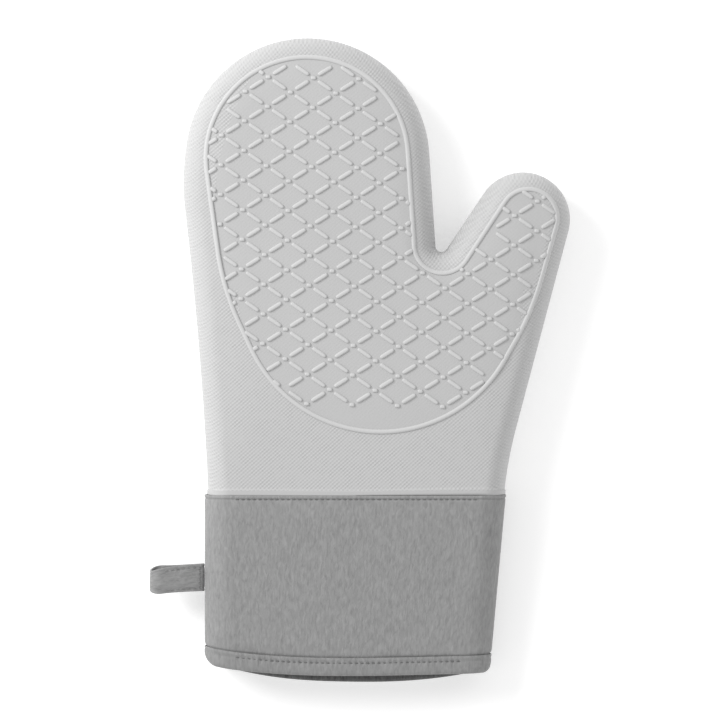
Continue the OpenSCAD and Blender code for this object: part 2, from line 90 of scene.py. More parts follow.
def grid_quads(rows: int, cols: int, wrap_rows: bool = False, wrap_cols: bool = False) -> np.ndarray:
    """Faces of a grid: each joins point (r, c) with its next neighbours along both parameters.

    Args:
        rows: Points along the first parameter.
        cols: Points along the second parameter.
        wrap_rows: Whether the last row joins the first.
        wrap_cols: Whether the last column joins the first.

    Returns:
        The faces as (n, 4) numbers of points.
    """
    r = np.arange(rows if wrap_rows else rows - 1)[:, None]
    c = np.arange(cols if wrap_cols else cols - 1)[None, :]
    down, right = (r + 1) % rows, (c + 1) % cols
    corners = [r * cols + c, r * cols + right, down * cols + right, down * cols + c]
    return np.stack(np.broadcast_arrays(*corners), axis=-1).reshape(-1, 4)


def slab(outer: np.ndarray, inner: np.ndarray, uv: np.ndarray | None = None, top: bool = True) -> Skin:
    """A sheet with thickness: two grids of the same size, joined by strips along their borders.

    Args:
        outer: Points (rows, cols, 3) of the outer face.
        inner: Points of the inner face, row by row behind the outer ones.
        uv: Places (rows, cols, 2) along the cloth.
        top: Whether the first row gets a strip; False where its points close on themselves.

    Returns:
        The closed skin.
    """
    rows, cols = outer.shape[:2]
    number = np.arange(rows * cols).reshape(rows, cols)
    behind = number + rows * cols
    face = grid_quads(rows, cols)
    rims = [number[-1], number[:, 0], number[:, -1]] + ([number[0]] if top else [])
    backs = [behind[-1], behind[:, 0], behind[:, -1]] + ([behind[0]] if top else [])
    strips = [np.stack([a[:-1], a[1:], b[1:], b[:-1]], axis=-1) for a, b in zip(rims, backs)]
    points = np.concatenate([outer.reshape(-1, 3), inner.reshape(-1, 3)])
    both = None if uv is None else np.concatenate([uv.reshape(-1, 2)] * 2)
    return Skin(points, np.concatenate([face, face[:, ::-1] + rows * cols, *strips]), uv=both)


def tube(grid: np.ndarray, uv: np.ndarray | None = None) -> Skin:
    """A profile carried round a closed path: a grid that is closed along both parameters."""
    rows, cols = grid.shape[:2]
    quads = grid_quads(rows, cols, wrap_rows=True, wrap_cols=True)
    return Skin(grid.reshape(-1, 3), quads, uv=None if uv is None else uv.reshape(-1, 2))


def joined(skins: list[Skin]) -> Skin:
    """Several skins as one, each kept as an island of its own."""
    starts = np.cumsum([0] + [len(s.points) for s in skins])
    inner = [np.zeros(len(s.points)) if s.inner is None else s.inner for s in skins]
    raised = [np.zeros(len(s.points)) if s.raised is None else s.raised for s in skins]
    uv = [np.zeros((len(s.points), 2)) if s.uv is None else s.uv for s in skins]
    return Skin(
        np.concatenate([s.points for s in skins]),
        np.concatenate([s.quads + a for s, a in zip(skins, starts)]),
        [[int(a) + i for i in cap] for s, a in zip(skins, starts) for cap in s.caps],
        np.concatenate(uv),
        np.concatenate(inner),
        np.concatenate(raised),
    )


def make_piece(
    name: str,
    skin: Skin,
    material: bpy.types.Material,
    slot: str,
    body: str,
    *nodes: str,
) -> bpy.types.Object:
    """Turns a skin into a smooth piece that stands for CAD nodes and rides on a body.

    Args:
        name: Name of the piece.
        skin: Its points and faces.
        material: Its finish.
        slot: The record's material slot; not used.
        body: The body that it moves with.
        nodes: The CAD nodes that it stands for.

    Returns:
        The new object.
    """
    mesh = bpy.data.meshes.new(name)
    mesh.from_pydata((skin.points * MM).tolist(), [], skin.quads.tolist() + skin.caps)
    corner = np.empty(len(mesh.loops), dtype=np.int64)
    mesh.loops.foreach_get("vertex_index", corner)
    if skin.uv is not None:
        layer = mesh.uv_layers.new(name="cloth")
        layer.data.foreach_set("uv", (skin.uv[corner] * MM).astype(np.float32).ravel())
    for mark, values in (("inner", skin.inner), ("raised", skin.raised)):
        if values is not None:
            mesh.attributes.new(mark, "FLOAT", "POINT").data.foreach_set("value", values.astype(np.float32))
    shaped = bmesh.new()
    shaped.from_mesh(mesh)
    bmesh.ops.remove_doubles(shaped, verts=shaped.verts, dist=2e-6)
    bmesh.ops.recalc_face_normals(shaped, faces=shaped.faces)
    shaped.to_mesh(mesh)
    shaped.free()
    mesh.polygons.foreach_set("use_smooth", np.ones(len(mesh.polygons), dtype=bool))
    mesh.materials.append(material)
    piece = bpy.data.objects.new(name, mesh)
    bpy.context.scene.collection.objects.link(piece)
    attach(piece, body)
    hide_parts(*nodes)
    log.info("%s: %d faces", name, len(mesh.polygons))
    return piece


# ---------------------------------------------------------------- finishes


class Bench:
    """A material being built: adds nodes and wires them up."""

    def __init__(self, name: str, roughness: float) -> None:
        """Starts a material with a plain shader of that roughness."""
        self.material = bpy.data.materials.new(name)
        self.material.use_nodes = True
        self.tree = self.material.node_tree
        self.shader = self.tree.nodes["Principled BSDF"]
        self.shader.inputs["Roughness"].default_value = roughness

    def node(self, kind: str, **inputs: object) -> bpy.types.Node:
        """Adds a node; each input is a value, or a socket that is wired to it.

        Args:
            kind: Blender's name for the node's type.
            inputs: Values or sockets by input name, with _ for a space, or i0, i1 by place.
                A name in lower case is a setting of the node itself.

        Returns:
            The node.
        """
        made = self.tree.nodes.new(kind)
        for key, value in inputs.items():
            if key[0] == "i" and key[1:].isdigit():
                socket = made.inputs[int(key[1:])]
            elif key[0].islower():
                setattr(made, key, value)
                continue
            else:
                socket = made.inputs[key.replace("_", " ")]
            if isinstance(value, bpy.types.NodeSocket):
                self.tree.links.new(value, socket)
            else:
                socket.default_value = value
        return made

    def sum(self, operation: str, *terms: object) -> bpy.types.NodeSocket:
        """The result of a calculation with numbers and sockets."""
        inputs = {f"i{k}": term for k, term in enumerate(terms)}
        return self.node("ShaderNodeMath", operation=operation, **inputs).outputs[0]

    def noise(
        self,
        place: bpy.types.NodeSocket,
        scale: tuple[float, float, float],
        detail: float = 2.0,
        waver: float = 0.0,
    ) -> bpy.types.NodeSocket:
        """Soft random pattern with that many lumps a metre along each axis.

        Args:
            place: Coordinates in metres.
            scale: Lumps a metre along each axis.
            detail: How much finer its smallest lumps are.
            waver: How far the lumps are bent.

        Returns:
            The pattern from 0 to 1.
        """
        spread = self.node("ShaderNodeMapping", Vector=place, Scale=scale)
        lumps = {"Scale": 1.0, "Detail": detail, "Distortion": waver}
        made = self.node("ShaderNodeTexNoise", Vector=spread.outputs[0], **lumps)
        return made.outputs[0]

    def wave(
        self,
        place: bpy.types.NodeSocket,
        along: tuple[float, float, float],
        pitch: float,
    ) -> bpy.types.NodeSocket:
        """Sine of the distance along a direction, with that pitch in millimetres."""
        unit = np.array(along) / np.linalg.norm(along) * 2 * np.pi / (pitch * MM)
        turn = self.node("ShaderNodeVectorMath", operation="DOT_PRODUCT", i0=place, i1=tuple(unit))
        return self.sum("SINE", turn.outputs["Value"])

    def shade(
        self,
        colour: tuple[float, float, float],
        *patterns: tuple[bpy.types.NodeSocket, float],
        level: object = 1.0,
    ) -> None:
        """Base colour, made darker and lighter by patterns.

        Args:
            colour: The middle colour.
            patterns: Pairs of a pattern from 0 to 1 and how strongly it changes the colour.
            level: What the colour is multiplied by before the patterns.
        """
        level = self.sum("SUBTRACT", level, sum(0.5 * strength for _, strength in patterns))
        for pattern, strength in patterns:
            level = self.sum("MULTIPLY_ADD", pattern, strength, level)
        mixed = self.node("ShaderNodeVectorMath", operation="SCALE", i0=colour, Scale=level)
        self.tree.links.new(mixed.outputs[0], self.shader.inputs["Base Color"])

    def emboss(self, height: bpy.types.NodeSocket, depth: float) -> None:
        """Bumps of that depth in millimetres where the height goes from 0 to 1."""
        bump = self.node("ShaderNodeBump", Height=height, Strength=1.0, Distance=depth * MM)
        self.tree.links.new(bump.outputs[0], self.shader.inputs["Normal"])


@dataclass(frozen=True)
class SiliconeFinish:
    """Matt moulded silicone: a diamond micro-texture on the border, nearly smooth in the grip panel."""

    colour: tuple[float, float, float] = (0.56, 0.56, 0.56)
    pitch: float = 2.1
    depth: float = 0.26
    rim: float = 3.4

    def material(self, panel: list["Arc"]) -> bpy.types.Material:
        """Builds the material.

        Args:
            panel: The left, top, right and lower circles that bound the grip panel.

        Returns:
            The material.
        """
        b = Bench("silicone", 0.5)
        place = b.node("ShaderNodeTexCoord").outputs["Object"]
        warp = b.wave(place, (1, 0, 0), self.pitch)
        weft = b.wave(place, (0, 1, 0.4), self.pitch * 0.85)
        weave = b.sum("MULTIPLY", warp, weft)
        axes = b.node("ShaderNodeSeparateXYZ", Vector=place).outputs
        inside: object = b.node("ShaderNodeAttribute", attribute_name="inner").outputs["Fac"]
        flat = b.node("ShaderNodeCombineXYZ", X=axes[0], Y=axes[1]).outputs[0]
        left, dome, right, low = [self.within(b, flat, arc) for arc in panel]
        upper = b.sum("GREATER_THAN", axes[1], panel[3].y * MM)
        under = b.sum("LESS_THAN", axes[1], panel[1].y * MM)
        inside = b.sum("MAXIMUM", inside, b.sum("LESS_THAN", axes[0], 0.0))
        inside = b.sum("MULTIPLY", inside, b.sum("MULTIPLY", left, right))
        ends = b.sum("MULTIPLY", b.sum("MAXIMUM", low, upper), b.sum("MAXIMUM", dome, under))
        inside = b.sum("MULTIPLY", inside, ends)
        above_rim = b.sum("GREATER_THAN", axes[1], self.rim * MM)
        raised = b.node("ShaderNodeAttribute", attribute_name="raised").outputs["Fac"]
        bare = b.sum("MULTIPLY", above_rim, b.sum("SUBTRACT", 1.0, raised))
        strength = b.sum("MULTIPLY", b.sum("MULTIPLY_ADD", inside, -0.85, 1.0), bare)
        fine = b.noise(place, (900, 900, 900), 3.0)
        uneven = b.sum("MULTIPLY_ADD", b.noise(place, (260, 260, 260)), 1.6, -0.1)
        woven = b.sum("MULTIPLY", b.sum("MULTIPLY", weave, uneven), strength)
        height = b.sum("MULTIPLY_ADD", woven, 0.5, b.sum("MULTIPLY", fine, 0.34))
        b.emboss(height, self.depth)
        # Painted highlight: the micro-texture's high points are up to 20% lighter and the grip's raised
        # relief 16% lighter, for light on their tops.
        dots = b.sum("MULTIPLY_ADD", woven, 0.5, 0.5)
        cloudy = b.noise(place, (22, 22, 22))
        b.shade(self.colour, (fine, 0.05), (cloudy, 0.05), (dots, 0.2), (strength, 0.04), (raised, 0.16))
        b.shader.inputs["Specular IOR Level"].default_value = 0.35
        return b.material

    def within(self, b: Bench, place: bpy.types.NodeSocket, arc: "Arc") -> bpy.types.NodeSocket:
        """1 inside the circle and 0 outside it."""
        centre = (arc.x * MM, arc.y * MM, 0.0)
        away = b.node("ShaderNodeVectorMath", operation="DISTANCE", i0=place, i1=centre).outputs["Value"]
        return b.sum("LESS_THAN", away, arc.r * MM)


@dataclass(frozen=True)
class ClothFinish:
    """Woven cotton or fleece, with its weave along the cloth's own lengths."""

    name: str
    colour: tuple[float, float, float]
    weave: Weave = Weave.PLAIN
    depth: float = 0.16
    mottle: float = 0.2
    sheen: float = 0.15

    def material(self) -> bpy.types.Material:
        """Builds the material from the cloth's UV map, which is in metres along the weave."""
        b = Bench(self.name, 0.9)
        place = b.node("ShaderNodeUVMap", uv_map="cloth").outputs[0]
        if self.weave is Weave.FLEECE:
            fibres = b.noise(place, (500, 500, 1), 6.0)
            b.emboss(fibres, 0.5)
            b.shade(self.colour, (fibres, 0.2))
        else:
            warp = b.wave(place, (1, 0, 0), 0.75)
            weft = b.wave(place, (0, 1, 0), 0.75)
            threads = b.sum("MULTIPLY_ADD", b.sum("MULTIPLY", warp, weft), 0.5, 0.5)
            tall, low = (820, 250) if self.weave is Weave.CREPE else (900, 900)
            crepe = b.noise(place, (tall, low, 1), 3.0, 0.8)
            blotch = b.noise(place, (420, 190, 1), 3.0)
            slub = b.noise(place, (60, 40, 1), 2.0)
            grain = b.sum("MULTIPLY_ADD", crepe, 0.9, b.sum("MULTIPLY", blotch, 0.9))
            height = b.sum("MULTIPLY_ADD", threads, 0.35, grain)
            b.emboss(height, self.depth)
            # Painted shade: where the 'inner' mark is 1 (the hem tape's inner leg) the colour is halved, for
            # the shade inside the cuff's mouth.
            inner = b.node("ShaderNodeAttribute", attribute_name="inner").outputs["Fac"]
            painted_shade_level = b.sum("MULTIPLY_ADD", inner, -0.5, 1.0)
            mottled = ((crepe, 1.3 * self.mottle), (blotch, 0.6 * self.mottle))
            b.shade(self.colour, *mottled, (slub, 0.1), (threads, 0.06), level=painted_shade_level)
        b.shader.inputs["Sheen Weight"].default_value = self.sheen
        b.shader.inputs["Specular IOR Level"].default_value = 0.2
        return b.material


@dataclass(frozen=True)
class ThreadFinish:
    """Sewing thread with fine twisted plies."""

    name: str
    colour: tuple[float, float, float]

    def material(self) -> bpy.types.Material:
        """Builds the material; the plies run across x and y at a slant."""
        b = Bench(self.name, 0.6)
        place = b.node("ShaderNodeTexCoord").outputs["Object"]
        ply = b.sum("MULTIPLY_ADD", b.wave(place, (1, 1, 0), 0.35), 0.5, 0.5)
        b.emboss(ply, 0.06)
        b.shade(self.colour, (ply, 0.25), (b.noise(place, (400, 400, 400)), 0.2))
        b.shader.inputs["Sheen Weight"].default_value = 0.2
        return b.material


@dataclass(frozen=True)
class TableFinish:
    """Plain pale table."""

    colour: tuple[float, float, float] = (0.93, 0.93, 0.93)
    glow: float = 0.32

    def material(self) -> bpy.types.Material:
        """Builds the material, with a little light of its own so that shadows stay soft."""
        b = Bench("pale_table", 0.9)
        place = b.node("ShaderNodeTexCoord").outputs["Object"]
        b.shade(self.colour, (b.noise(place, (3, 3, 3)), 0.01))
        b.shader.inputs["Specular IOR Level"].default_value = 0.0
        b.shader.inputs["Emission Color"].default_value = (1.0, 1.0, 1.0, 1.0)
        b.shader.inputs["Emission Strength"].default_value = self.glow
        return b.material


# ---------------------------------------------------------------- outlines


@dataclass(frozen=True)
class Arc:
    """A circle of an outline; a negative radius makes it a hollow."""

    x: float
    y: float
    r: float


def run_normal(a: Arc, b: Arc) -> float:
    """Outward direction, in radians, of the straight run that touches two circles clockwise."""
    dx, dy = b.x - a.x, b.y - a.y
    return float(np.arctan2(dy, dx) + np.arccos(np.clip((a.r - b.r) / np.hypot(dx, dy), -1, 1)))


def arc_line(arc: Arc, start: float, end: float, count: int) -> np.ndarray:
    """Points and outward normals on an arc: the centre plus r times (cos, sin) of the direction.

    Args:
        arc: The circle.
        start: Direction of its first point; a full circle turns clockwise and a hollow the other way.
        end: Direction of its last point.
        count: Number of points.

    Returns:
        Rows of x, y and the normal's two parts.
    """
    slack = np.radians(5)
    turn = (start - end if arc.r > 0 else end - start) + slack
    sweep = turn - 2 * np.pi * np.floor(turn / (2 * np.pi)) - slack
    a = start + np.linspace(0, -sweep if arc.r > 0 else sweep, count)
    return np.stack([arc.x + arc.r * np.cos(a), arc.y + arc.r * np.sin(a), np.cos(a), np.sin(a)], axis=-1)


def closed_line(arcs: list[Arc], spacing: float) -> np.ndarray:
    """A closed outline round circles, with points about spacing apart and their normals."""
    parts = []
    for k, arc in enumerate(arcs):
        start, end = run_normal(arcs[k - 1], arc), run_normal(arc, arcs[(k + 1) % len(arcs)])
        parts.append(arc_line(arc, start, end, 90))
    line = np.concatenate(parts)
    line = line[np.hypot(*(line - np.roll(line, 1, axis=0))[:, :2].T) > 1e-3]
    return along(np.vstack([line, line[:1]]), spacing)[:-1]


def along(line: np.ndarray, spacing: float) -> np.ndarray:
    """The same line with points evenly spread along its length, normals made one long again."""
    length = np.concatenate([[0], np.cumsum(np.hypot(*np.diff(line[:, :2], axis=0).T))])
    where = np.linspace(0, length[-1], int(length[-1] / spacing) + 1)
    out = np.stack([np.interp(where, length, line[:, k]) for k in range(line.shape[1])], axis=-1)
    out[:, 2:4] /= np.linalg.norm(out[:, 2:4], axis=1, keepdims=True)
    return out


def distance_to(points: np.ndarray, line: np.ndarray) -> tuple[np.ndarray, np.ndarray]:
    """How far points are from a closed outline, and whether they lie inside it.

    The distance is the least one to any of its straight pieces. A point is inside when a line
    from it to the right crosses the outline an odd number of times.

    Args:
        points: (n, 2) places.
        line: (m, 2) corners of the outline.

    Returns:
        Distances (n,) and truth values (n,).
    """
    a, b = line, np.roll(line, -1, axis=0)
    v, w = b - a, points[:, None, :] - a
    t = np.clip((w * v).sum(-1) / np.maximum((v * v).sum(-1), 1e-12), 0, 1)
    away = np.linalg.norm(w - t[..., None] * v, axis=-1).min(axis=1)
    y = points[:, 1][:, None]
    crosses = (a[:, 1] > y) != (b[:, 1] > y)
    rise = np.where(np.abs(v[:, 1]) < 1e-12, 1e-12, v[:, 1])
    right = points[:, 0][:, None] < a[:, 0] + (y - a[:, 1]) * v[:, 0] / rise
    return away, (crosses & right).sum(axis=1) % 2 == 1


# ---------------------------------------------------------------- silicone glove


@dataclass
class Hand:
    """The hand's outline as columns that run from its edge to a line up its middle.

    Each column has a point on the outline, its outward normal and a target on the middle line of
    the palm, the fingers or the thumb. Both sides of a middle line share the same targets, so the
    surface closes there.
    """

    depth: float = 34.0
    relief: float = 0.8
    edge: float = 11.0
    tail: float = 10.0
    flank: Arc = Arc(-2072.6, 0.0, -2000.0)
    shoulder: Arc = Arc(34.0, 156.8, 120.0)
    dome: Arc = Arc(-24.0, 167.8, 61.0)
    crotch: Arc = Arc(43.0, 125.0, -3.0)
    thumb: Arc = Arc(83.7, 138.3, 23.5)
    hollow_r: float = 220.0
    wrist_turn: float = 5.7
    wrist: tuple[float, float] = (-73.5, 74.2)
    fork: tuple[float, float] = (15.0, 88.0)
    knee: tuple[float, float] = (55.0, 92.0)
    bend: tuple[float, float] = (74.0, 104.0)
    split: tuple[float, float] = (95.0, 64.0)
    crown: float = 1.1
    seam: float = 0.9
    columns: np.ndarray = field(init=False)
    targets: np.ndarray = field(init=False)
    tails: int = 5

    def __post_init__(self) -> None:
        """Works out the columns and the crown of the palm."""
        turn = np.radians(self.wrist_turn)
        hollow_x = self.wrist[1] + self.hollow_r * np.cos(turn)
        hollow = Arc(hollow_x, -self.hollow_r * np.sin(turn), -self.hollow_r)
        self.flank = self.touching((self.wrist[0], 0.0), self.shoulder, 2000.0)
        self.middle = (self.depth / 2, self.depth / 2 - self.relief)
        rim = self.seam + np.array([0, 0.25, 0.7, 1.3, 1.8, 2.2, 2.6, 3.0, 3.6])
        heights = np.concatenate([np.arange(-self.tail, 0, 2), rim, np.arange(6, 87, 2)])
        share = heights / self.fork[1]
        upto = np.maximum(share, 0) ** 3
        left_y = heights + (self.split[0] - self.fork[1]) * upto
        right_y = heights + (self.split[1] - self.fork[1]) * upto
        palm = np.stack([0.35 + (self.fork[0] - 0.35) * np.clip(share, 0, 1) ** 1.5, heights], axis=-1)
        joint = run_normal(self.shoulder, self.dome)
        flank_end = run_normal(self.flank, self.shoulder)
        left = np.concatenate([
            arc_line(self.flank, self.wrist_side(-self.tail - 1), flank_end, 200)[:-1],
            arc_line(self.shoulder, flank_end, joint, 120),
        ])
        tip_end, tip_start = run_normal(self.thumb, hollow), run_normal(self.crotch, self.thumb)
        dome_end = run_normal(self.dome, self.crotch)
        low = np.arcsin((-self.tail - 1 - hollow.y) / hollow.r)
        right = np.concatenate([
            arc_line(self.thumb, tip_start, tip_end, 60)[-1:],
            arc_line(hollow, tip_end, low, 200),
        ])[::-1]
        fingers, thumbs, webs = 36, 26, 16
        finger_y = np.linspace(self.split[0], left[-1, 1], fingers + 1)[:-1]
        thumb_y = np.linspace(self.split[1], right[-1, 1], thumbs + webs)[:-1]
        crotch = arc_line(self.crotch, dome_end, tip_start, webs)
        dome = arc_line(self.dome, joint, dome_end, 92)
        tip = arc_line(self.thumb, tip_start, tip_end, 46)
        finger_run = self.run(dome[-1], crotch[0], fingers + 1)
        thumb_run = self.run(crotch[-1], tip[0], thumbs + 1)
        s = np.linspace(0, 1, fingers + 1)[:, None]
        finger_line = np.array(self.fork) * (1 - s) + np.array([self.dome.x, self.dome.y]) * s
        s = np.linspace(0, 1, thumbs + 1)[:, None]
        ends = (np.array(self.knee), np.array(self.bend), np.array([self.thumb.x, self.thumb.y]))
        thumb_line = ends[0] * (1 - s) ** 2 + ends[1] * 2 * s * (1 - s) + ends[2] * s ** 2
        s = np.linspace(0, 1, webs)[:, None]
        web_line = np.array(self.fork) * (1 - s) + ends[0] * s
        self.columns = np.concatenate([
            self.at_heights(left, np.concatenate([left_y, finger_y])), dome, finger_run[1:-1], crotch,
            thumb_run[1:-1], tip, self.at_heights(right, np.concatenate([right_y, thumb_y]))[::-1],
        ])
        self.targets = np.concatenate([
            palm, finger_line[:-1], np.repeat(finger_line[-1:], len(dome), axis=0), finger_line[-2:0:-1],
            web_line, thumb_line[1:-1], np.repeat(thumb_line[-1:], len(tip), axis=0),
            thumb_line[-2::-1], web_line[-2::-1], palm[::-1],
        ])
        self.outline = self.columns[:, :2]
        self.raise_crown()

    def touching(self, point: tuple[float, float], arc: Arc, radius: float) -> Arc:
        """The hollow of that radius that passes a point and touches a circle from outside."""
        v = np.array([arc.x - point[0], arc.y - point[1]])
        d = np.linalg.norm(v)
        ahead = (radius ** 2 - (radius + arc.r) ** 2 + d ** 2) / (2 * d)
        aside, u = np.sqrt(radius ** 2 - ahead ** 2), v / d
        return Arc(point[0] + ahead * u[0] - aside * u[1], point[1] + ahead * u[1] + aside * u[0], -radius)

    def wrist_side(self, y: float) -> float:
        """Outward direction of the left flank where it crosses height y."""
        return float(np.pi - np.arcsin((y - self.flank.y) / self.flank.r))

    def run(self, a: np.ndarray, b: np.ndarray, count: int) -> np.ndarray:
        """Straight run between two points of the outline."""
        s = np.linspace(0, 1, count)[:, None]
        return a * (1 - s) + b * s

    def at_heights(self, line: np.ndarray, y: np.ndarray) -> np.ndarray:
        """Points of a rising line at those heights, with their normals."""
        out = np.stack([np.interp(y, line[:, 1], line[:, k]) for k in range(4)], axis=-1)
        out[:, 1] = y
        out[:, 2:] /= np.linalg.norm(out[:, 2:], axis=1, keepdims=True)
        return out

    def raise_crown(self) -> None:
        """Height of the soft crown: a skin held at the flat's rim and pushed up from below.

        The push is settled by averaging each place of a 2 mm lattice with its four neighbours.
        """
        self.lattice = np.arange(-120, 121, 2.0), np.arange(-20, 241, 2.0)
        gx, gy = np.meshgrid(*self.lattice, indexing="ij")
        rim = self.columns[:, :2] - self.edge * self.columns[:, 2:]
        _, inside = distance_to(np.stack([gx.ravel(), gy.ravel()], axis=-1), rim)
        inside = inside.reshape(gx.shape)
        push = np.zeros(gx.shape)
        for _ in range(900):
            around = np.roll(push, 1, 0) + np.roll(push, -1, 0) + np.roll(push, 1, 1) + np.roll(push, -1, 1)
            push = np.where(inside, around / 4 + 1.0, 0)
        fade = np.clip(gy / 55, 0, 1)
        self.height = self.crown * (1 - np.exp(-(push / 110) ** 2)) * fade ** 2 * (3 - 2 * fade)

    def crown_at(self, x: np.ndarray, y: np.ndarray) -> np.ndarray:
        """The crown's height at places, taken between the four nearest of the lattice."""
        i = np.clip((x - self.lattice[0][0]) / 2, 0, len(self.lattice[0]) - 1.001)
        j = np.clip((y - self.lattice[1][0]) / 2, 0, len(self.lattice[1]) - 1.001)
        a, b = np.floor(i).astype(int), np.floor(j).astype(int)
        s, t = i - a, j - b
        h = self.height
        near = h[a, b] * (1 - s) + h[a + 1, b] * s
        far = h[a, b + 1] * (1 - s) + h[a + 1, b + 1] * s
        return near * (1 - t) + far * t

    def lifted(self, y: np.ndarray) -> np.ndarray:
        """How far the smooth rim band at the wrist stands up at height y."""
        up = y - self.seam
        return 0.55 * np.clip((2.7 - up) / 0.5, 0, 1) * (up >= 0)

    def surface(
        self,
        inset: float | np.ndarray,
        rows: tuple[int, int],
        half: Side | None = None,
        rim: bool = False,
    ) -> tuple[np.ndarray, np.ndarray]:
        """A surface parallel to the hand's outside.

        Rows run from the middle line over the front to the edge, and back under it. A flat row is
        a share of the way from the rim of the flat to the column's target. An edge row at angle a
        is moved in by inset + (edge - inset)(1 - cos a), at height (half depth - inset) sin a.

        Args:
            inset: How far inside the outside it lies.
            rows: Number of rows on a flat, and round the edge.
            half: One side only, down to the parting line.
            rim: Whether the rim band stands up.

        Returns:
            Points (rows, columns, 3), and 1 on the flat or 0 on the edge, row by row.
        """
        base, normal, target = self.columns[:, :2], self.columns[:, 2:], self.targets
        up = inset - (self.lifted(base[:, 1]) if rim else 0.0)
        share = np.linspace(1, 0, rows[0])[:, None, None]
        flat = (base - self.edge * normal) * (1 - share) + target * share
        tall = self.middle[1] - up
        high = np.broadcast_to(self.middle[0] + tall, flat.shape[:2])
        top = np.concatenate([flat, high[..., None]], axis=-1)
        top[..., 2] += self.crown_at(top[..., 0], top[..., 1])
        low = top[::-1].copy()
        low[..., 2] = self.middle[0] - np.broadcast_to(tall, low.shape[:2])
        angle = np.linspace(np.pi / 2, 0 if half else -np.pi / 2, rows[1])[1:, None]
        moved = up + (self.edge - up) * (1 - np.cos(angle))
        round_ = np.concatenate([
            base[None] - moved[..., None] * normal,
            (self.middle[0] + tall * np.sin(angle) * np.ones(len(base)))[..., None],
        ], axis=-1)
        parts = [top, round_] if half else [top, round_, low[1:]]
        points = np.concatenate(parts)
        ends = np.r_[0:self.tails + 1, len(base) - self.tails - 1:len(base)]
        level = np.tile(base[ends, 1], (len(points), 1))
        level[:rows[0]] += (target[ends, 1] - base[ends, 1]) * share[..., 0]
        if not half:
            level[-rows[0]:] = level[:rows[0]][::-1]
        points[:, ends, 1] = level
        flatness = np.zeros(len(points))
        flatness[:rows[0] - 1] = 1
        if not half:
            flatness[1 - rows[0]:] = 1
        if half is Side.BACK:
            points[..., 2] = self.depth - points[..., 2]
        return points, flatness

    def front_height(self, x: np.ndarray, y: np.ndarray) -> np.ndarray:
        """Height of the silicone's front at places: round near the edge, crowned further in."""
        away, _ = distance_to(np.stack([x.ravel(), y.ravel()], axis=-1), self.outline)
        short = np.clip((self.edge - away.reshape(x.shape)) / self.edge, 0, 1)
        return self.middle[0] + self.middle[1] * np.sqrt(1 - short ** 2) + self.crown_at(x, y)


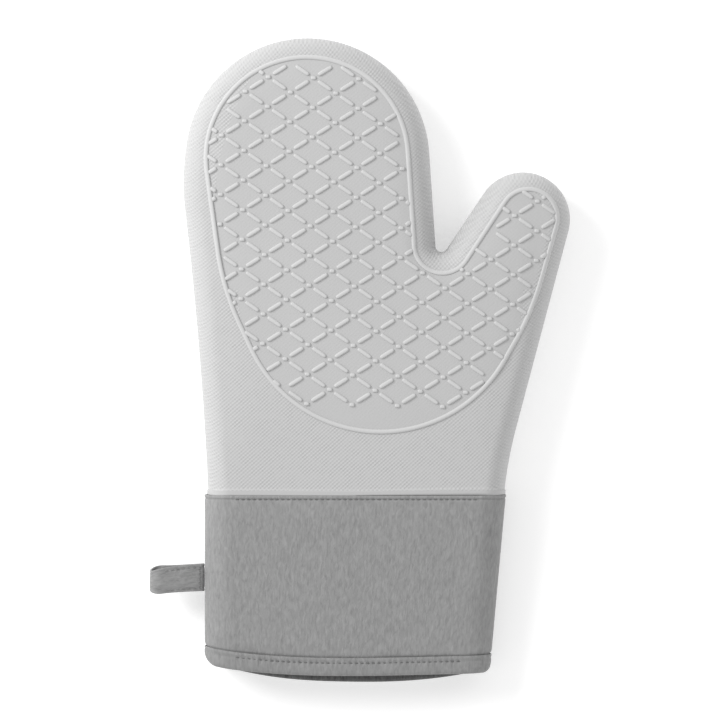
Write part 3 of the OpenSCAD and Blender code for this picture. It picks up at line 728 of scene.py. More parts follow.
@dataclass
class Grip:
    """The raised pattern of the grip panel: a bead round it, and dashes and dots on a diamond lattice."""

    hand: Hand
    bead: float = 2.3
    rise: float = 0.9
    across: float = 22.4
    down: float = 14.65
    turned: float = -1.2
    crossing: tuple[float, float] = (-20.7, 207.4)
    dash: tuple[float, float] = (4.1, 1.15)
    dot: tuple[float, float] = (1.4, 1.05)
    circles: tuple[Arc, ...] = (
        Arc(61.4, 141.2, 131), Arc(-24, 167.8, 50), Arc(43, 125, -14),
        Arc(85.7, 138.3, 14.3), Arc(-51.8, 150.7, 150), Arc(12.5, 103, 70.5),
    )

    def line(self) -> np.ndarray:
        """The middle line of the bead."""
        return closed_line(list(self.circles), 1.6)

    def placed(self, points: np.ndarray, side: Side) -> np.ndarray:
        """Stands points whose z is a height above the silicone on its front or its back."""
        x, y, rise = points[..., 0], points[..., 1], points[..., 2]
        front = self.hand.front_height(x, y)
        if side is Side.FRONT:
            z = front + rise
        else:
            z = np.maximum(self.hand.depth - (front - self.hand.crown_at(x, y)) - rise, 0)
        return np.stack([x, y, z], axis=-1)

    def bead_skin(self, side: Side) -> Skin:
        """The bead: half a circle carried round the panel's outline, with its foot in the silicone."""
        line = self.line()
        a = np.linspace(0, np.pi, 9)
        out = np.concatenate([[1.0], np.cos(a), [-1.0]]) * self.bead / 2
        rise = np.concatenate([[-0.5], self.rise * np.sin(a) ** 0.8, [-0.5]])
        grid = np.concatenate([
            line[:, None, :2] + out[None, :, None] * line[:, None, 2:],
            np.broadcast_to(rise, (len(line), len(rise)))[..., None],
        ], axis=-1)
        skin = tube(self.placed(grid, side))
        skin.raised = np.ones(len(skin.points))
        return skin

    def crossings(self) -> np.ndarray:
        """Places where the lattice's lines cross, row by row and turned as a whole."""
        i, j = np.meshgrid(np.arange(-9, 10), np.arange(-22, 6), indexing="ij")
        x = (i + 0.5 * (j % 2)) * self.across
        y = j * self.down / 2
        a = np.radians(self.turned)
        turned = np.stack([x * np.cos(a) - y * np.sin(a), x * np.sin(a) + y * np.cos(a)], axis=-1)
        return turned.reshape(-1, 2) + np.array(self.crossing)

    def studs(self, centre: np.ndarray, way: np.ndarray, size: np.ndarray, around: int, side: Side) -> Skin:
        """Rounded studs: a squarish ellipse |cos|^0.5, |sin|^0.5 drawn in and up in three rings.

        Args:
            centre: (n, 2) middles.
            way: (n,) directions of their lengths.
            size: (n, 2) half lengths and half widths.
            around: Points round each.
            side: The face that they stand on.

        Returns:
            All the studs as one skin.
        """
        a = np.linspace(0, 2 * np.pi, around, endpoint=False) + np.pi / around
        circle = np.stack([np.cos(a), np.sin(a)])
        shape = np.sign(circle) * np.abs(circle) ** 0.5
        drawn = np.array([0.0, 0.05, 0.32, 0.75])
        rise = np.array([-0.45, 0.25, 0.92, 1.0]) * self.rise
        rise[0] = -0.4
        half = size[:, None, :] - drawn[None, :, None] * size[:, None, 1:2]
        local = half[:, :, :, None] * shape[None, None]
        c, s = np.cos(way)[:, None, None], np.sin(way)[:, None, None]
        x = centre[:, 0, None, None] + local[:, :, 0] * c - local[:, :, 1] * s
        y = centre[:, 1, None, None] + local[:, :, 0] * s + local[:, :, 1] * c
        z = np.broadcast_to(rise[None, :, None], x.shape)
        points = self.placed(np.stack([x, y, z], axis=-1), side).reshape(-1, 3)
        one = grid_quads(4, around, wrap_cols=True)
        starts = np.arange(len(centre)) * 4 * around
        quads = (one[None] + starts[:, None, None]).reshape(-1, 4)
        lids = [list(range(s0 + 3 * around, s0 + 4 * around)) for s0 in starts.tolist()]
        feet = [list(range(s0 + around - 1, s0 - 1, -1)) for s0 in starts.tolist()]
        return Skin(points, quads, lids + feet, raised=np.ones(len(points)))

    def dashes(self, side: Side) -> Skin:
        """Dashes in the middle of each lattice edge, cut short where the bead runs."""
        at = self.crossings()
        a = np.radians(self.turned)
        spin = np.array([[np.cos(a), np.sin(a)], [-np.sin(a), np.cos(a)]])
        panel = self.line()[:, :2]
        skins = []
        for lean in (1, -1):
            step = np.array([lean * self.across / 2, self.down / 2]) @ spin
            unit = step / np.linalg.norm(step)
            centre = at + step / 2
            s = np.linspace(-self.dash[0], self.dash[0], 33)
            places = centre[:, None] + s[None, :, None] * unit
            away, inside = distance_to(places.reshape(-1, 2), panel)
            clear = (inside & (away > 0.5)).reshape(len(centre), len(s))
            first = np.where(clear.any(1), clear.argmax(1), 0)
            last = len(s) - 1 - np.where(clear.any(1), clear[:, ::-1].argmax(1), 0)
            keep = clear.any(1) & (s[last] - s[first] > 2.2)
            middle = centre + ((s[first] + s[last]) / 2)[:, None] * unit
            size = np.stack([(s[last] - s[first]) / 2, np.full(len(centre), self.dash[1])], axis=-1)
            way = np.full(len(centre), np.arctan2(unit[1], unit[0]))
            skins.append(self.studs(middle[keep], way[keep], size[keep], 12, side))
        return joined(skins)

    def dots(self, side: Side) -> Skin:
        """Small studs at the crossings inside the bead."""
        at = self.crossings()
        away, inside = distance_to(at, self.line()[:, :2])
        at = at[inside & (away > 2.4)]
        size = np.broadcast_to(np.array(self.dot), at.shape)
        return self.studs(at, np.full(len(at), np.radians(self.turned)), size, 8, side)


@dataclass
class Glove:
    """The silicone moulding, with a stepped-in skirt under the cuff."""

    hand: Hand
    grip: Grip
    wall: float = 2.0
    skirt: float = 8.0
    step: float = 0.8

    def skin(self) -> Skin:
        """Outside, ledge, skirt and inside as one closed grid of columns."""
        rows, t = (9, 27), self.hand.tails
        out, flat = self.hand.surface(0.0, rows, rim=True)
        stepped, _ = self.hand.surface(self.step, rows)
        inner, _ = self.hand.surface(self.wall, rows)
        grid = np.concatenate([
            out[:, t:-t], stepped[:, -t - 1:-1], inner[:, 1:-1][:, ::-1], stepped[:, 1:t + 1],
        ], axis=1)
        marks = np.zeros(grid.shape[:2])
        flat[[rows[0] - 1, -rows[0]]] = 1
        marks[:, :out.shape[1] - 2 * t] = flat[:, None]
        quads = grid_quads(grid.shape[0], grid.shape[1], wrap_cols=True)
        return Skin(grid.reshape(-1, 3), quads, inner=marks.ravel())

    def build(self) -> bpy.types.Object:
        """Makes the glove with the grip on both faces."""
        makers = (self.grip.bead_skin, self.grip.dashes, self.grip.dots)
        raised = [make(side) for side in Side for make in makers]
        circles = self.grip.circles
        finish = SiliconeFinish().material([circles[0], circles[1], circles[4], circles[5]])
        skin = joined([self.skin(), *raised])
        return make_piece("silicone_glove", skin, finish, "silicone", "mitt", "silicone_shell")


@dataclass
class Lining:
    """The quilted lining: backing, batting and inner cotton on each side."""

    hand: Hand
    backing: tuple[float, float] = (2.1, 2.5)
    batting: tuple[float, float] = (2.6, 5.6)
    cotton: tuple[float, float] = (5.7, 6.2)
    pitch: float = 22.0
    puff: float = 0.9

    def layer(self, insets: tuple[float, float], side: Side, quilted: tuple[bool, bool]) -> Skin:
        """A layer between two insets; a quilted face swells by |sin| between the rows of stitches.

        Args:
            insets: Outer and inner inset.
            side: The side of the hand.
            quilted: Whether the outer and the inner face swell.

        Returns:
            The closed skin of the layer.
        """
        faces = []
        for inset, swells in zip(insets, quilted):
            points, flat = self.hand.surface(inset, (26, 13), half=side)
            row = np.abs(np.sin(np.pi * (points[..., 0] - self.hand.dome.x) / self.pitch)) ** 0.7
            swell = self.puff * row * flat[:, None] * (1.0 if swells else 0.0)
            points[..., 2] -= side.value * (swell + 0.05 * (flat[:, None] == 0))
            faces.append(points)
        return slab(faces[0], faces[1], faces[0][..., :2].copy(), top=False)

    def build(self) -> None:
        """Makes the six layers, and measures the backing and the inner cotton of each side."""
        white = ClothFinish("batting_fleece", (0.85, 0.85, 0.83), Weave.FLEECE).material()
        calico = ClothFinish("backing_calico", (0.72, 0.7, 0.66)).material()
        cotton = ClothFinish("lining_cotton", (0.5, 0.5, 0.49)).material()
        for side in Side:
            end = side.name.lower()
            skin = self.layer(self.backing, side, (False, False))
            back = make_piece(f"backing_calico_{end}", skin, calico, "backing", "mitt", f"backing_{end}")
            skin = self.layer(self.batting, side, (False, True))
            pad = make_piece(f"batting_pad_{end}", skin, white, "batting", "mitt", f"batting_{end}")
            skin = self.layer(self.cotton, side, (True, True))
            inner = make_piece(f"lining_cotton_{end}", skin, cotton, "lining", "mitt", f"lining_{end}")
            for cloth, under in ((back, "silicone_glove"), (inner, pad.name)):
                declare_sheet(cloth)


# ---------------------------------------------------------------- cuff


def declare_sheet(piece: bpy.types.Object, turns: int = 1) -> None:
    """Measures a cloth by its own mesh: half its whole area, and the width and length of its UV map; nothing
    is done with them.

    Args:
        piece: The cloth.
        turns: 2 where its UV map runs over one face and back over the other.
    """
    mesh = piece.data
    areas = np.empty(len(mesh.polygons), dtype=np.float32)
    mesh.polygons.foreach_get("area", areas)
    spread = np.empty(len(mesh.loops) * 2, dtype=np.float32)
    mesh.uv_layers["cloth"].data.foreach_get("uv", spread)
    spread = spread.reshape(-1, 2)
    area = float(areas.sum()) / 2
    width, length = np.maximum(spread.max(axis=0) - spread.min(axis=0), 0.01).tolist()
    length /= turns


@dataclass
class CuffShape:
    """The cuff's outside: a flattened tube whose front sags towards its mouth."""

    left: float = 75.3
    right: float = 75.1
    height: float = 85.0
    taper: float = 7.7
    slant: tuple[float, float] = (0.85, 2.05)
    drop: tuple[float, float] = (3.3, 8.6)
    bow: tuple[float, float] = (2.0, 2.5)
    skew: tuple[float, float] = (0.6, 0.1)
    corner: tuple[float, float] = (5.0, 2.4)
    seam: float = 0.9
    sag: float = 7.0
    sag_from: float = 9.0
    edge: float = 14.0
    middle: float = 17.0
    binding: float = 9.2

    def across(self, flats: int = 200, rounds: int = 12) -> tuple[np.ndarray, np.ndarray]:
        """Positions over one side: a share of the flat, and an angle round the two edges."""
        turn = np.linspace(0, np.pi / 2, rounds)
        flat = np.linspace(0, 1, flats)[1:-1]
        share = np.concatenate([np.zeros(rounds), flat, np.ones(rounds)])
        angle = np.concatenate([turn, np.full(len(flat), np.pi / 2), turn[::-1]])
        return share, angle

    def sag_at(self, y: np.ndarray, side: Side) -> np.ndarray:
        """How far the front has sagged at height y; the back lies flat."""
        run = self.height + self.drop[0] - self.sag_from
        return self.sag * np.maximum(-y - self.sag_from, 0) / run * (1 if side is Side.FRONT else 0)

    def right_at(self, y: np.ndarray) -> np.ndarray:
        """Place of the right seam at height y."""
        return self.right + self.taper * y / self.height

    def hem(self, x: np.ndarray, side: Side, above: float | np.ndarray = 0.0) -> np.ndarray:
        """Height of a line at a distance above the hem's lowest edge.

        The edge is a slanting line with a bow on it, drop (1 - |s|^p) (1 - k s), where s goes from
        -1 at the left to 1 at the right. Its rounded corners fade out up to the top of the binding.

        Args:
            x: Places across the cuff.
            side: Front or back.
            above: Distance above the lowest edge.

        Returns:
            Heights at those places.
        """
        left, right = -self.left, self.right - self.taper
        half = (right - left) / 2
        s = np.clip((x - (left + right) / 2) / half, -1, 1)
        corner = np.where(s < 0, self.corner[0], self.corner[1])
        out = np.clip((np.abs(s) * half - half + corner) / corner, 0, 1)
        k = 0 if side is Side.FRONT else 1
        bow = self.drop[k] * (1 - np.abs(s) ** self.bow[k]) * (1 - self.skew[k] * s)
        fade = 1 - np.clip(np.asarray(above) / self.binding, 0, 1)
        rise = corner * (1 - np.sqrt(1 - out ** 2)) * fade
        return -self.height - self.slant[0] - self.slant[1] * s - bow + rise + above

    def place(
        self,
        share: np.ndarray,
        angle: np.ndarray,
        y: np.ndarray,
        inset: np.ndarray,
        deep: np.ndarray,
        side: Side,
    ) -> np.ndarray:
        """A point of the cuff's section.

        On an edge x is the side plus e(1 - cos a) and the height (middle - deep - sag) sin a; on
        the flat x runs evenly between the edges.

        Args:
            share: Share of the flat.
            angle: Angle round an edge, a quarter turn on the flat.
            y: Height along the mitt.
            inset: How far it is moved in sideways.
            deep: How far it is moved in through the thickness.
            side: Front or back.

        Returns:
            Points with x, y and z last.
        """
        l, r, e = -self.left + inset, self.right_at(y) - inset, self.edge - inset
        low = self.sag_at(y, side)
        on_edge = np.where(share < 0.5, l + e * (1 - np.cos(angle)), r - e * (1 - np.cos(angle)))
        x = np.where(angle < np.pi / 2 - 1e-9, on_edge, l + e + (r - l - 2 * e) * share)
        z = np.maximum(self.middle + side.value * (self.middle - deep - low) * np.sin(angle), 0)
        return np.stack(np.broadcast_arrays(x, y, z), axis=-1)

    def seam_x(self, share: np.ndarray, angle: np.ndarray, inset: float, side: Side) -> np.ndarray:
        """Width position of each column at the hem, from which the hem's height follows."""
        at = np.full(share.shape, -self.height)
        moved = np.full(share.shape, inset)
        return self.place(share, angle, at, moved, moved, side)[..., 0]


@dataclass
class Cloth:
    """A panel of the cuff, given by heights and insets from its top edge down to its hem.

    down, down_in and down_deep give insets at distances below the wrist seam, and up, up_in and
    up_deep at heights above the hem's edge.
    """

    shape: CuffShape
    thick: float
    down: list[float]
    down_in: list[float]
    down_deep: list[float]
    up: list[float]
    up_in: list[float]
    ripple: float = 0.0
    pucker: float = 0.0
    pucker_at: float = 1.9
    body_rows: int = 34
    flats: int = 200

    def skin(self, side: Side) -> Skin:
        """The panel: rows follow the seam at the top and the hem below, moved in by the insets."""
        share, angle = self.shape.across(self.flats)
        at = self.shape.seam_x(share, angle, 0.0, side)[None]
        top, up = self.shape.seam - np.array(self.down)[:, None], np.array(self.up)[:, None]
        s = np.linspace(0, 1, self.body_rows + 2)[1:-1, None]
        ends = self.shape.hem(at, side, up)
        body = top[-1] * (1 - s) + ends[:1] * s
        y = np.concatenate([np.broadcast_to(top, (len(top), at.shape[1])), body, ends])
        body_in = np.interp(s[:, 0], [0, 1], [self.down_in[-1], self.up_in[0]])
        body_deep = np.interp(s[:, 0], [0, 1], [self.down_deep[-1], self.up_in[0]])
        across_in = np.concatenate([self.down_in, body_in, self.up_in])
        deep = np.concatenate([self.down_deep, body_deep, self.up_in])
        inset = across_in[:, None] * np.ones_like(y)
        depth = deep[:, None] * np.ones_like(y)
        outer = self.shape.place(share, angle, y, inset, depth, side)
        girth = outer[len(top)]
        length = np.cumsum(np.linalg.norm(np.diff(girth, axis=0, prepend=girth[:1]), axis=-1))
        x = outer[..., 0]
        wave = self.waves(x, y)
        pulled = np.exp(-((self.shape.seam - y - self.pucker_at) / 0.7) ** 2)
        stitch = self.pucker * pulled * (0.5 + 0.5 * np.cos(2 * np.pi * (x + STITCH_START) / STITCH_PITCH))
        moved = depth + wave + stitch
        outer = self.shape.place(share, angle, y, inset, moved, side)
        thick = np.full((len(y), 1), self.thick)
        thick[[0, -1]] *= 0.52
        back = self.shape.place(share, angle, y, inset + thick, depth + wave + thick, side)
        gap = 0.05 * side.value * (np.abs(outer[..., 2] - self.shape.middle) < 0.05)
        outer[..., 2] += gap
        back[..., 2] += 0.05 * side.value * (np.abs(back[..., 2] - self.shape.middle) < 0.05)
        uv = np.stack([np.broadcast_to(length, y.shape), y], axis=-1)
        return slab(outer, back, uv)

    def waves(self, x: np.ndarray, y: np.ndarray) -> np.ndarray:
        """Soft ripples of the cloth that grow towards the hem, as a sum of three slow sines."""
        s = np.clip(-y / self.shape.height, 0, 1)
        broad = np.sin(x / 8.5 + 0.02 * y + 1.0) + 0.8 * np.sin(x / 17 - 0.7)
        pattern = broad + 0.6 * np.sin(x / 5.3 + y / 31 + 2.0)
        fade = np.clip(-y / 6, 0, 1) * np.clip((1.05 - s) / 0.15, 0, 1)
        return self.ripple * pattern * (0.25 + 0.75 * s) * fade


@dataclass
class Binding:
    """Tape folded over the mouth of the cuff, puckered by its row of stitches."""

    shape: CuffShape
    thick: float = 0.8
    inner: float = 2.9
    seam: float = 2.6

    def profile(self) -> np.ndarray:
        """The tape's cut: height above the hem, inset, and how far a stitch may pull it in.

        Outer leg from the top, half a circle under the hem, inner leg, and back inside it.
        """
        r = (self.inner + self.thick) / 2
        high = self.shape.binding
        leg = [
            [high - 0.05, 0.45, 0], [high, 0.15, 0], [high - 0.25, -0.08, 0.1], [high - 1.3, -0.12, 0.3],
            [high - 2.0, 0.02, 0.8], [high - self.seam, 0.24, 1], [high - 3.2, 0.02, 0.8],
            [high - 3.9, -0.12, 0.4], [high - 4.8, -0.16, 0.1], [high - 5.8, -0.14, 0],
            [high - 6.6, -0.08, 0],
        ]
        a = np.linspace(0, np.pi, 11)
        fold = np.stack([r - r * np.sin(a), r - r * np.cos(a), 0 * a], axis=-1)
        end = [
            [high * 0.5, 2 * r, 0], [high - 0.2, 2 * r, 0], [high, 2 * r - 0.2, 0],
            [high, 2 * r - 0.6, 0], [high - 0.2, 2 * r - 0.8, 0],
        ]
        q = r - self.thick
        back = np.stack([r - q * np.sin(a[::-1]), r - q * np.cos(a[::-1]), 0 * a], axis=-1)
        rise = [[high * 0.5, self.thick, 0], [high - 0.3, self.thick, 0]]
        return np.concatenate([leg, fold, end, back, rise])

    def skin(self) -> Skin:
        """The profile carried round the whole mouth, over the front and back under the back."""
        share, angle = self.shape.across(230)
        profile = self.profile()
        rings = []
        for side in (Side.FRONT, Side.BACK):
            sh, an = (share, angle) if side is Side.FRONT else (share[::-1][1:-1], angle[::-1][1:-1])
            x = self.shape.seam_x(sh, an, 0.0, side)[:, None]
            y = self.shape.hem(x, side, profile[None, :, 0])
            even = np.cos(2 * np.pi * (x + STITCH_START) / STITCH_PITCH)
            pull = 0.22 * profile[None, :, 2] * (even + 0.7 * np.sin(x / 0.9) * np.sin(x / 6.1))
            soft = 0.12 * np.sin(x / 6.3 + 0.4) + 0.1 * np.sin(x / 3.7)
            outside = (profile[None, :, 1] < 0.7) * np.clip(profile[None, :, 0] / 3, 0, 1)
            deep = profile[None, :, 1] + pull + soft * outside
            inset = profile[None, :, 1] * np.ones_like(y)
            rings.append(self.shape.place(sh[:, None], an[:, None], y, inset, deep, side))
        grid = np.concatenate(rings)
        middle = grid[:, 8]
        length = np.cumsum(np.linalg.norm(np.diff(middle, axis=0, prepend=middle[:1]), axis=-1))
        along_cut = np.cumsum(np.hypot(*np.diff(profile[:, :2], axis=0, prepend=profile[:1, :2]).T))
        uv = np.stack(np.broadcast_arrays(length[:, None], along_cut[None]), axis=-1)
        skin = tube(grid, uv)
        # Painted shade: the tape's inner leg gets the 'inner' mark, so its finish paints it half as light,
        # for the shade inside the mouth.
        inside = np.clip((profile[:, 1] - self.inner / 2) / 1.2, 0, 1)
        skin.inner = np.broadcast_to(inside, grid.shape[:2]).ravel()
        return skin


def stitches(
    centre: np.ndarray,
    way: np.ndarray,
    out: np.ndarray,
    length: float,
    width: float,
    arch: float,
) -> Skin:
    """Stitches of thread: a circle carried along a low arch, drawn to a point at both ends.

    Args:
        centre: (n, 3) middles on the cloth.
        way: (n, 3) unit directions of the stitches.
        out: (n, 3) unit directions away from the cloth.
        length: Length of a stitch.
        width: Width of the thread.
        arch: Height of its middle above its ends.

    Returns:
        All the stitches as one skin.
    """
    side = np.cross(out, way)
    s = np.array([-1.0, -0.86, -0.5, 0.0, 0.5, 0.86, 1.0])
    a = np.linspace(0, 2 * np.pi, 6, endpoint=False)
    thick = width / 2 * np.sqrt(np.maximum(1 - s ** 4, 0))
    along = (s * length / 2)[:, None] * np.ones(len(a))
    across = thick[:, None] * np.cos(a)
    up = (arch * (1 - s ** 2))[:, None] + 0.75 * thick[:, None] * np.sin(a)
    points = (
        centre[:, None, None]
        + along[None, ..., None] * way[:, None, None]
        + across[None, ..., None] * side[:, None, None]
        + up[None, ..., None] * out[:, None, None]
    )
    one = grid_quads(len(s), len(a), wrap_cols=True)
    starts = np.arange(len(centre)) * len(s) * len(a)
    return Skin(points.reshape(-1, 3), (one[None] + starts[:, None, None]).reshape(-1, 4))


@dataclass
class Cuff:
    """The sewn cuff: canvas, facing, hem binding and their stitches."""

    shape: CuffShape
    canvas_colour: tuple[float, float, float] = (0.305, 0.305, 0.305)
    tape_colour: tuple[float, float, float] = (0.29, 0.29, 0.29)
    # Painted shade: the facing is half as light as the canvas, the tone of the tape's shaded inner leg, for
    # the shade inside the cuff's mouth.
    facing_colour: tuple[float, float, float] = (0.15, 0.15, 0.15)
    thread_colour: tuple[float, float, float] = (0.15, 0.15, 0.15)

    def build(self) -> None:
        """Makes the cuff's pieces and their stitches."""
        canvas = ClothFinish("cuff_canvas", self.canvas_colour, Weave.CREPE, 0.3, 0.5).material()
        tape = ClothFinish("hem_tape", self.tape_colour, Weave.CREPE, 0.3, 0.5).material()
        plain = ClothFinish("facing_cotton", self.facing_colour).material()
        thread = ThreadFinish("cuff_thread", self.thread_colour).material()
        down = [0.03, 0.15, 0.4, 0.8, 1.15, 1.4, 1.65, 1.9, 2.15, 2.4, 2.7, 3.3, 4.5, 6.5]
        dip = [0.16, 0.0, -0.12, -0.18, -0.14, 0.0, 0.2, 0.36, 0.2, 0.05, -0.04, -0.08, -0.06, 0.0]
        up = [15, 12, 10.8, 10.1, 9.7, 9.3, 6, 4, 1.9]
        tucked = [0, 0.0, 0.08, 0.3, 0.62, 0.9, 0.95, 0.95, 0.95]
        cloth = Cloth(self.shape, 1.1, down, dip, dip, up, tucked, ripple=0.16, pucker=0.14)
        fdown = [3.0, 5.0, 8.0, 11.0, 14.0, 17.0, 20.0, 23.0, 26.0]
        slope = np.interp(fdown, [11, 26], [0, 1])
        swing = slope * slope * (3 - 2 * slope)
        f_in, f_deep = (8.35 - 7.1 * swing).tolist(), (7.35 - 6.1 * swing).tolist()
        fup = [15, 12, 10, 9, 6, 4, 1.9]
        fup_in = [1.25, 1.5, 2.0, 2.12, 2.12, 2.12, 2.12]
        lining = Cloth(self.shape, 0.7, fdown, f_in, f_deep, fup, fup_in, body_rows=14, flats=70)
        for side in Side:
            end = side.name.lower()
            skin = lining.skin(side)
            face = make_piece(f"facing_cotton_{end}", skin, plain, "facing", "mitt", f"cuff_facing_{end}")
            declare_sheet(face)
            skin = cloth.skin(side)
            panel = make_piece(f"cuff_canvas_{end}", skin, canvas, "canvas", "mitt", f"cuff_{end}")
            declare_sheet(panel)
        hem = make_piece("hem_tape", Binding(self.shape).skin(), tape, "binding", "mitt", "hem_binding")
        declare_sheet(hem, turns=2)
        make_piece("cuff_top_thread", self.top_row(), thread, "thread", "mitt", "cuff_top_stitching")
        make_piece("hem_thread", self.hem_row(), thread, "thread", "mitt", "hem_stitching")
        grey = ThreadFinish("seam_thread", (0.24, 0.24, 0.24)).material()
        for end, outward in (("left", -1.0), ("right", 1.0)):
            row = self.side_row(outward)
            make_piece(f"side_thread_{end}", row, grey, "thread", "mitt", f"side_seam_{end}")

    def side_row(self, outward: float) -> Skin:
        """Stitches across the parting line of one side, sunk into the cloth; the loop's root is left free."""
        y = np.arange(-4.0, -71.0, -3.4)
        if outward < 0:
            y = y[np.abs(y + 41.0) > 8.4]
        x = np.full(y.shape, -self.shape.left) if outward < 0 else self.shape.right_at(y)
        centre = np.stack([x - 0.14 * outward, y, np.full(y.shape, self.shape.middle)], axis=-1)
        way = np.broadcast_to(np.array([0.0, 0.0, 1.0]), centre.shape)
        out = np.broadcast_to(np.array([outward, 0.0, 0.0]), centre.shape)
        return stitches(centre, way, out, 2.2, 0.5, 0.05)

    def row(self, above_hem: float | None, below_top: float, deep: float, side: Side) -> Skin:
        """A row of stitches across one side, at a distance from the seam or from the hem.

        Args:
            above_hem: Height above the hem's edge, or None for a row below the wrist seam.
            below_top: Distance below the wrist seam.
            deep: How far below the cuff's outside the cloth lies there.
            side: Front or back.

        Returns:
            The stitches as one skin.
        """
        x = np.arange(-STITCH_START, 60.0 if above_hem is None else 52.0, STITCH_PITCH)
        if above_hem is None:
            y, slope = np.full(x.shape, self.shape.seam - below_top), np.zeros(x.shape)
        else:
            y = self.shape.hem(x, side, above_hem)
            slope = self.shape.hem(x + 0.5, side) - self.shape.hem(x - 0.5, side)
        low = self.shape.sag_at(y, side)
        z = self.shape.middle + side.value * (self.shape.middle - deep - low)
        way = np.stack([np.ones_like(x), slope, 0 * x], axis=-1)
        way /= np.linalg.norm(way, axis=1, keepdims=True)
        out = np.broadcast_to(np.array([0.0, 0.0, float(side.value)]), way.shape)
        return stitches(np.stack([x, y, z], axis=-1), way, out, 1.9, 0.6, 0.12)

    def top_row(self) -> Skin:
        """Stitches through the folded top edge, front and back."""
        return joined([self.row(None, Cloth.pucker_at, 0.3, side) for side in Side])

    def hem_row(self) -> Skin:
        """Stitches near the upper edge of the binding."""
        return joined([self.row(self.shape.binding - Binding.seam, 0.0, 0.26, side) for side in Side])


# ---------------------------------------------------------------- hanging loop


@dataclass
class Loop:
    """The hanging loop: a tape folded in two at the side seam, a little skewed and open at its end."""

    root: float = -76.5
    root_r: float = 1.1
    end: float = -97.8
    end_r: float = 5.0
    thick: float = 1.0
    width: float = 13.8
    drop: float = 41.0
    middle: float = 17.0

    def path(self) -> tuple[np.ndarray, np.ndarray]:
        """Middle of the tape seen from its edge: two circles and the runs between them.

        Returns:
            Rows of x, z and the normal's two parts, and each one's share of the way out.
        """
        half = self.thick / 2
        near = Arc(self.root, self.middle, self.root_r - half)
        arcs = [near, Arc(self.end, self.middle, self.end_r - half)]
        line = closed_line(arcs, 0.5)
        return line, np.clip((self.root - line[:, 0]) / (self.root - self.end), 0, 1.2)

    def skew(self, s: np.ndarray, up: float | np.ndarray) -> np.ndarray:
        """Shift along the seam at a share s of the way out: the upper run (up 1) wanders further."""
        return 0.4 - 1.1 * s - (0.7 * up - 0.5 * (1 - up)) * s ** 3

    def skin(self) -> Skin:
        """A flat tape with rounded edges and a shallow stitched groove, carried along the path."""
        line, s = self.path()
        half, t = self.width / 2, self.thick / 2
        v = np.array([-1, -0.985, -0.95, -0.86, -0.77, -0.68, -0.4, 0, 0.4, 0.68, 0.77, 0.86, 0.95, 0.985, 1])
        edge = [0.25, 0.7, 0.95, 1.0, 0.62, 1.0, 1.06]
        face = t * np.array([*edge, 1.08, *edge[::-1]])
        across = np.concatenate([v, v[::-1]]) * half
        off = np.concatenate([face, -face[::-1]])
        rise = np.clip((line[:, 1] - self.middle) / (self.end_r - t), -1, 1) * 0.5 + 0.5
        shift = self.skew(s, rise)
        narrow = 1 - 0.08 * s - 0.14 * np.clip((s - 0.92) / 0.28, 0, 1) ** 2
        creases = np.sin(line[:, 0] / 2.3)[:, None] * np.sin(across / 3.1)[None]
        wobble = 0.12 * creases * np.clip(s[:, None] * 3, 0, 1)
        x = line[:, 0, None] + (off[None] + wobble) * line[:, 2, None]
        z = line[:, 1, None] + (off[None] + wobble) * line[:, 3, None]
        y = -self.drop + shift[:, None] + across[None] * narrow[:, None]
        length = np.cumsum(np.hypot(*np.diff(line[:, :2], axis=0, prepend=line[:1, :2]).T))
        uv = np.stack(np.broadcast_arrays(across[None] + 0 * x, length[:, None] + 0 * x), axis=-1)
        return tube(np.stack([x, y, z], axis=-1), uv)

    def rows(self, places: np.ndarray, edge: np.ndarray, slant: np.ndarray, length: float) -> Skin:
        """Stitches on both runs of the tape.

        Args:
            places: Distances of the stitches from the root.
            edge: Their distances from the tape's middle line.
            slant: Their turn away from the tape's length, in radians.
            length: Length of a stitch.

        Returns:
            The stitches as one skin.
        """
        run = self.root - self.end
        tilt = np.arcsin((self.end_r - self.root_r) / run)
        s = places / run
        r = self.root_r + (self.end_r - self.root_r) * s
        skins = []
        for up in (1, -1):
            shift = self.skew(s, float(up > 0))
            x = self.root - places + r * np.sin(tilt)
            z = self.middle + up * (r * np.cos(tilt) + 0.02)
            out = np.broadcast_to(np.array([np.sin(tilt), 0, up * np.cos(tilt)]), (len(s), 3))
            flat = np.array([-np.cos(tilt), 0, up * np.sin(tilt)])
            way = np.cos(slant)[:, None] * flat + np.sin(slant)[:, None] * np.array([0.0, 1.0, 0.0])
            y = -self.drop + shift + edge * (1 - 0.08 * s)
            skins.append(stitches(np.stack([x, y, z], axis=-1), way, out, length, 0.5, 0.1))
        return joined(skins)

    def build(self) -> None:
        """Makes the tape, its topstitching and the bar tack at its root."""
        tape = ClothFinish("loop_tape", (0.29, 0.29, 0.29), Weave.CREPE, 0.3, 0.6).material()
        thread = ThreadFinish("loop_thread", (0.24, 0.24, 0.24)).material()
        piece = make_piece("loop_tape_folded", self.skin(), tape, "loop_tape", "loop", "hanging_loop")
        declare_sheet(piece)
        at = np.arange(4.5, 19.5, STITCH_PITCH)
        along_both = np.concatenate([at, at])
        edges = np.repeat([self.width / 2 - 1.6, 1.6 - self.width / 2], len(at))
        row = self.rows(along_both, edges, np.zeros(len(edges)), 1.9)
        make_piece("loop_thread_rows", row, thread, "thread", "loop", "loop_topstitching")
        across = np.arange(-5, 6) * 1.1
        slant = np.where(np.arange(len(across)) % 2 == 0, 0.4, -0.4)
        tack = self.rows(np.full(len(across), 1.6), across, slant, 1.7)
        make_piece("loop_bar_tack", tack, thread, "thread", "loop", "loop_bartack")


# ---------------------------------------------------------------- studio


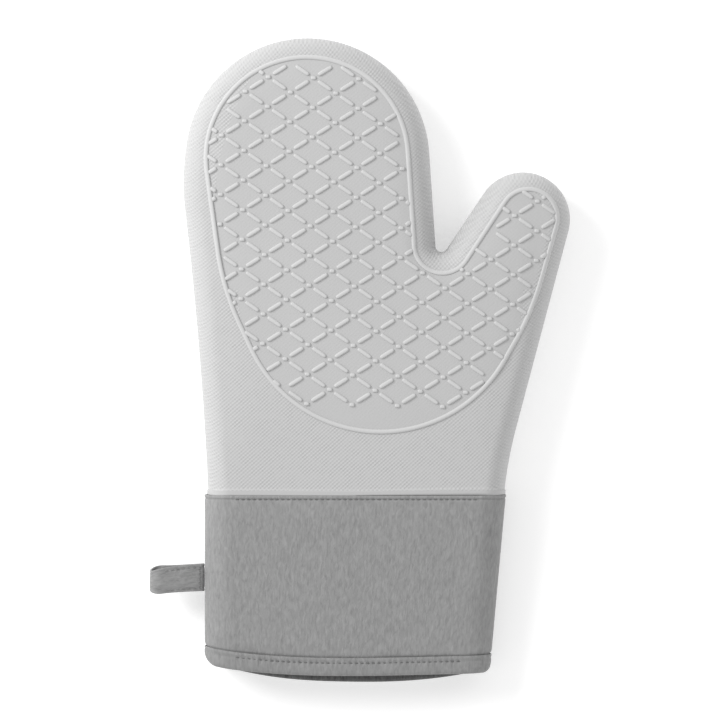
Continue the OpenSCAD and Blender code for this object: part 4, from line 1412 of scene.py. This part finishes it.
@dataclass
class Studio:
    """Pale table, camera straight above the mitt, and soft light from the upper left."""

    centre: tuple[float, float] = (2.25, 68.0)
    away: float = 1500.0
    level: float = 17.0
    lens: float = 150.0
    key: float = 10.4
    fill: float = 0.71

    def build(self) -> None:
        """Makes the table, the lights and the camera."""
        scene = bpy.context.scene
        self.table()
        self.lamp("key_light", (-0.85, 0.6, 0.8), 0.6, self.key)
        world = bpy.data.worlds.new("soft_room")
        world.use_nodes = True
        world.node_tree.nodes["Background"].inputs["Color"].default_value = (1.0, 1.0, 1.0, 1.0)
        world.node_tree.nodes["Background"].inputs["Strength"].default_value = self.fill
        scene.world = world
        scene.view_settings.view_transform = "Standard"
        lens = bpy.data.cameras.new("camera")
        lens.lens, lens.sensor_width, lens.clip_end = self.lens, 36.0, 50.0
        camera = bpy.data.objects.new("camera", lens)
        camera.location = (self.centre[0] * MM, self.centre[1] * MM, (self.level + self.away) * MM)
        scene.collection.objects.link(camera)
        scene.camera = camera

    def table(self) -> None:
        """A large flat table, as a grid just under the mitt."""
        x, y = np.meshgrid(np.linspace(-4000, 4000, 41), np.linspace(-4000, 4000, 41), indexing="ij")
        grid = np.stack([x, y, np.full(x.shape, -0.15)], axis=-1)
        mesh = bpy.data.meshes.new("table")
        mesh.from_pydata((grid.reshape(-1, 3) * MM).tolist(), [], grid_quads(41, 41)[:, ::-1].tolist())
        mesh.materials.append(TableFinish().material())
        table = bpy.data.objects.new("table", mesh)
        bpy.context.scene.collection.objects.link(table)

    def lamp(self, name: str, place: tuple[float, float, float], size: float, watts: float) -> None:
        """A square soft light at a place in metres, turned towards the mitt."""
        light = bpy.data.lights.new(name, "AREA")
        light.shape, light.size, light.energy = "SQUARE", size, watts
        lamp = bpy.data.objects.new(name, light)
        lamp.location = place
        aim = Vector((self.centre[0] * MM, self.centre[1] * MM, 0.0)) - Vector(place)
        lamp.rotation_euler = aim.to_track_quat("-Z", "Y").to_euler()
        bpy.context.scene.collection.objects.link(lamp)


def dress_nodes() -> None:
    """Gives the CAD nodes that stay their sewing thread."""
    pale = ThreadFinish("pale_thread", (0.62, 0.62, 0.6)).material()
    for name in ("quilting_thread_front", "quilting_thread_back", "lining_edge_seam"):
        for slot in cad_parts[name].material_slots:
            slot.material = pale
        log.info("%s dressed", name)


def plain(box: object) -> list[list[float]]:
    """A box as plain lists of numbers."""
    return [[float(v) for v in corner] for corner in box]


def main() -> None:
    """Builds the mitt from the hand outwards and reports each piece."""
    logging.basicConfig(level=logging.INFO, format="%(name)s: %(message)s")
    hand = Hand()
    Glove(hand, Grip(hand)).build()
    Lining(hand).build()
    Cuff(CuffShape()).build()
    Loop().build()
    dress_nodes()
    Studio().build()


if __name__ == "__main__":
    main()
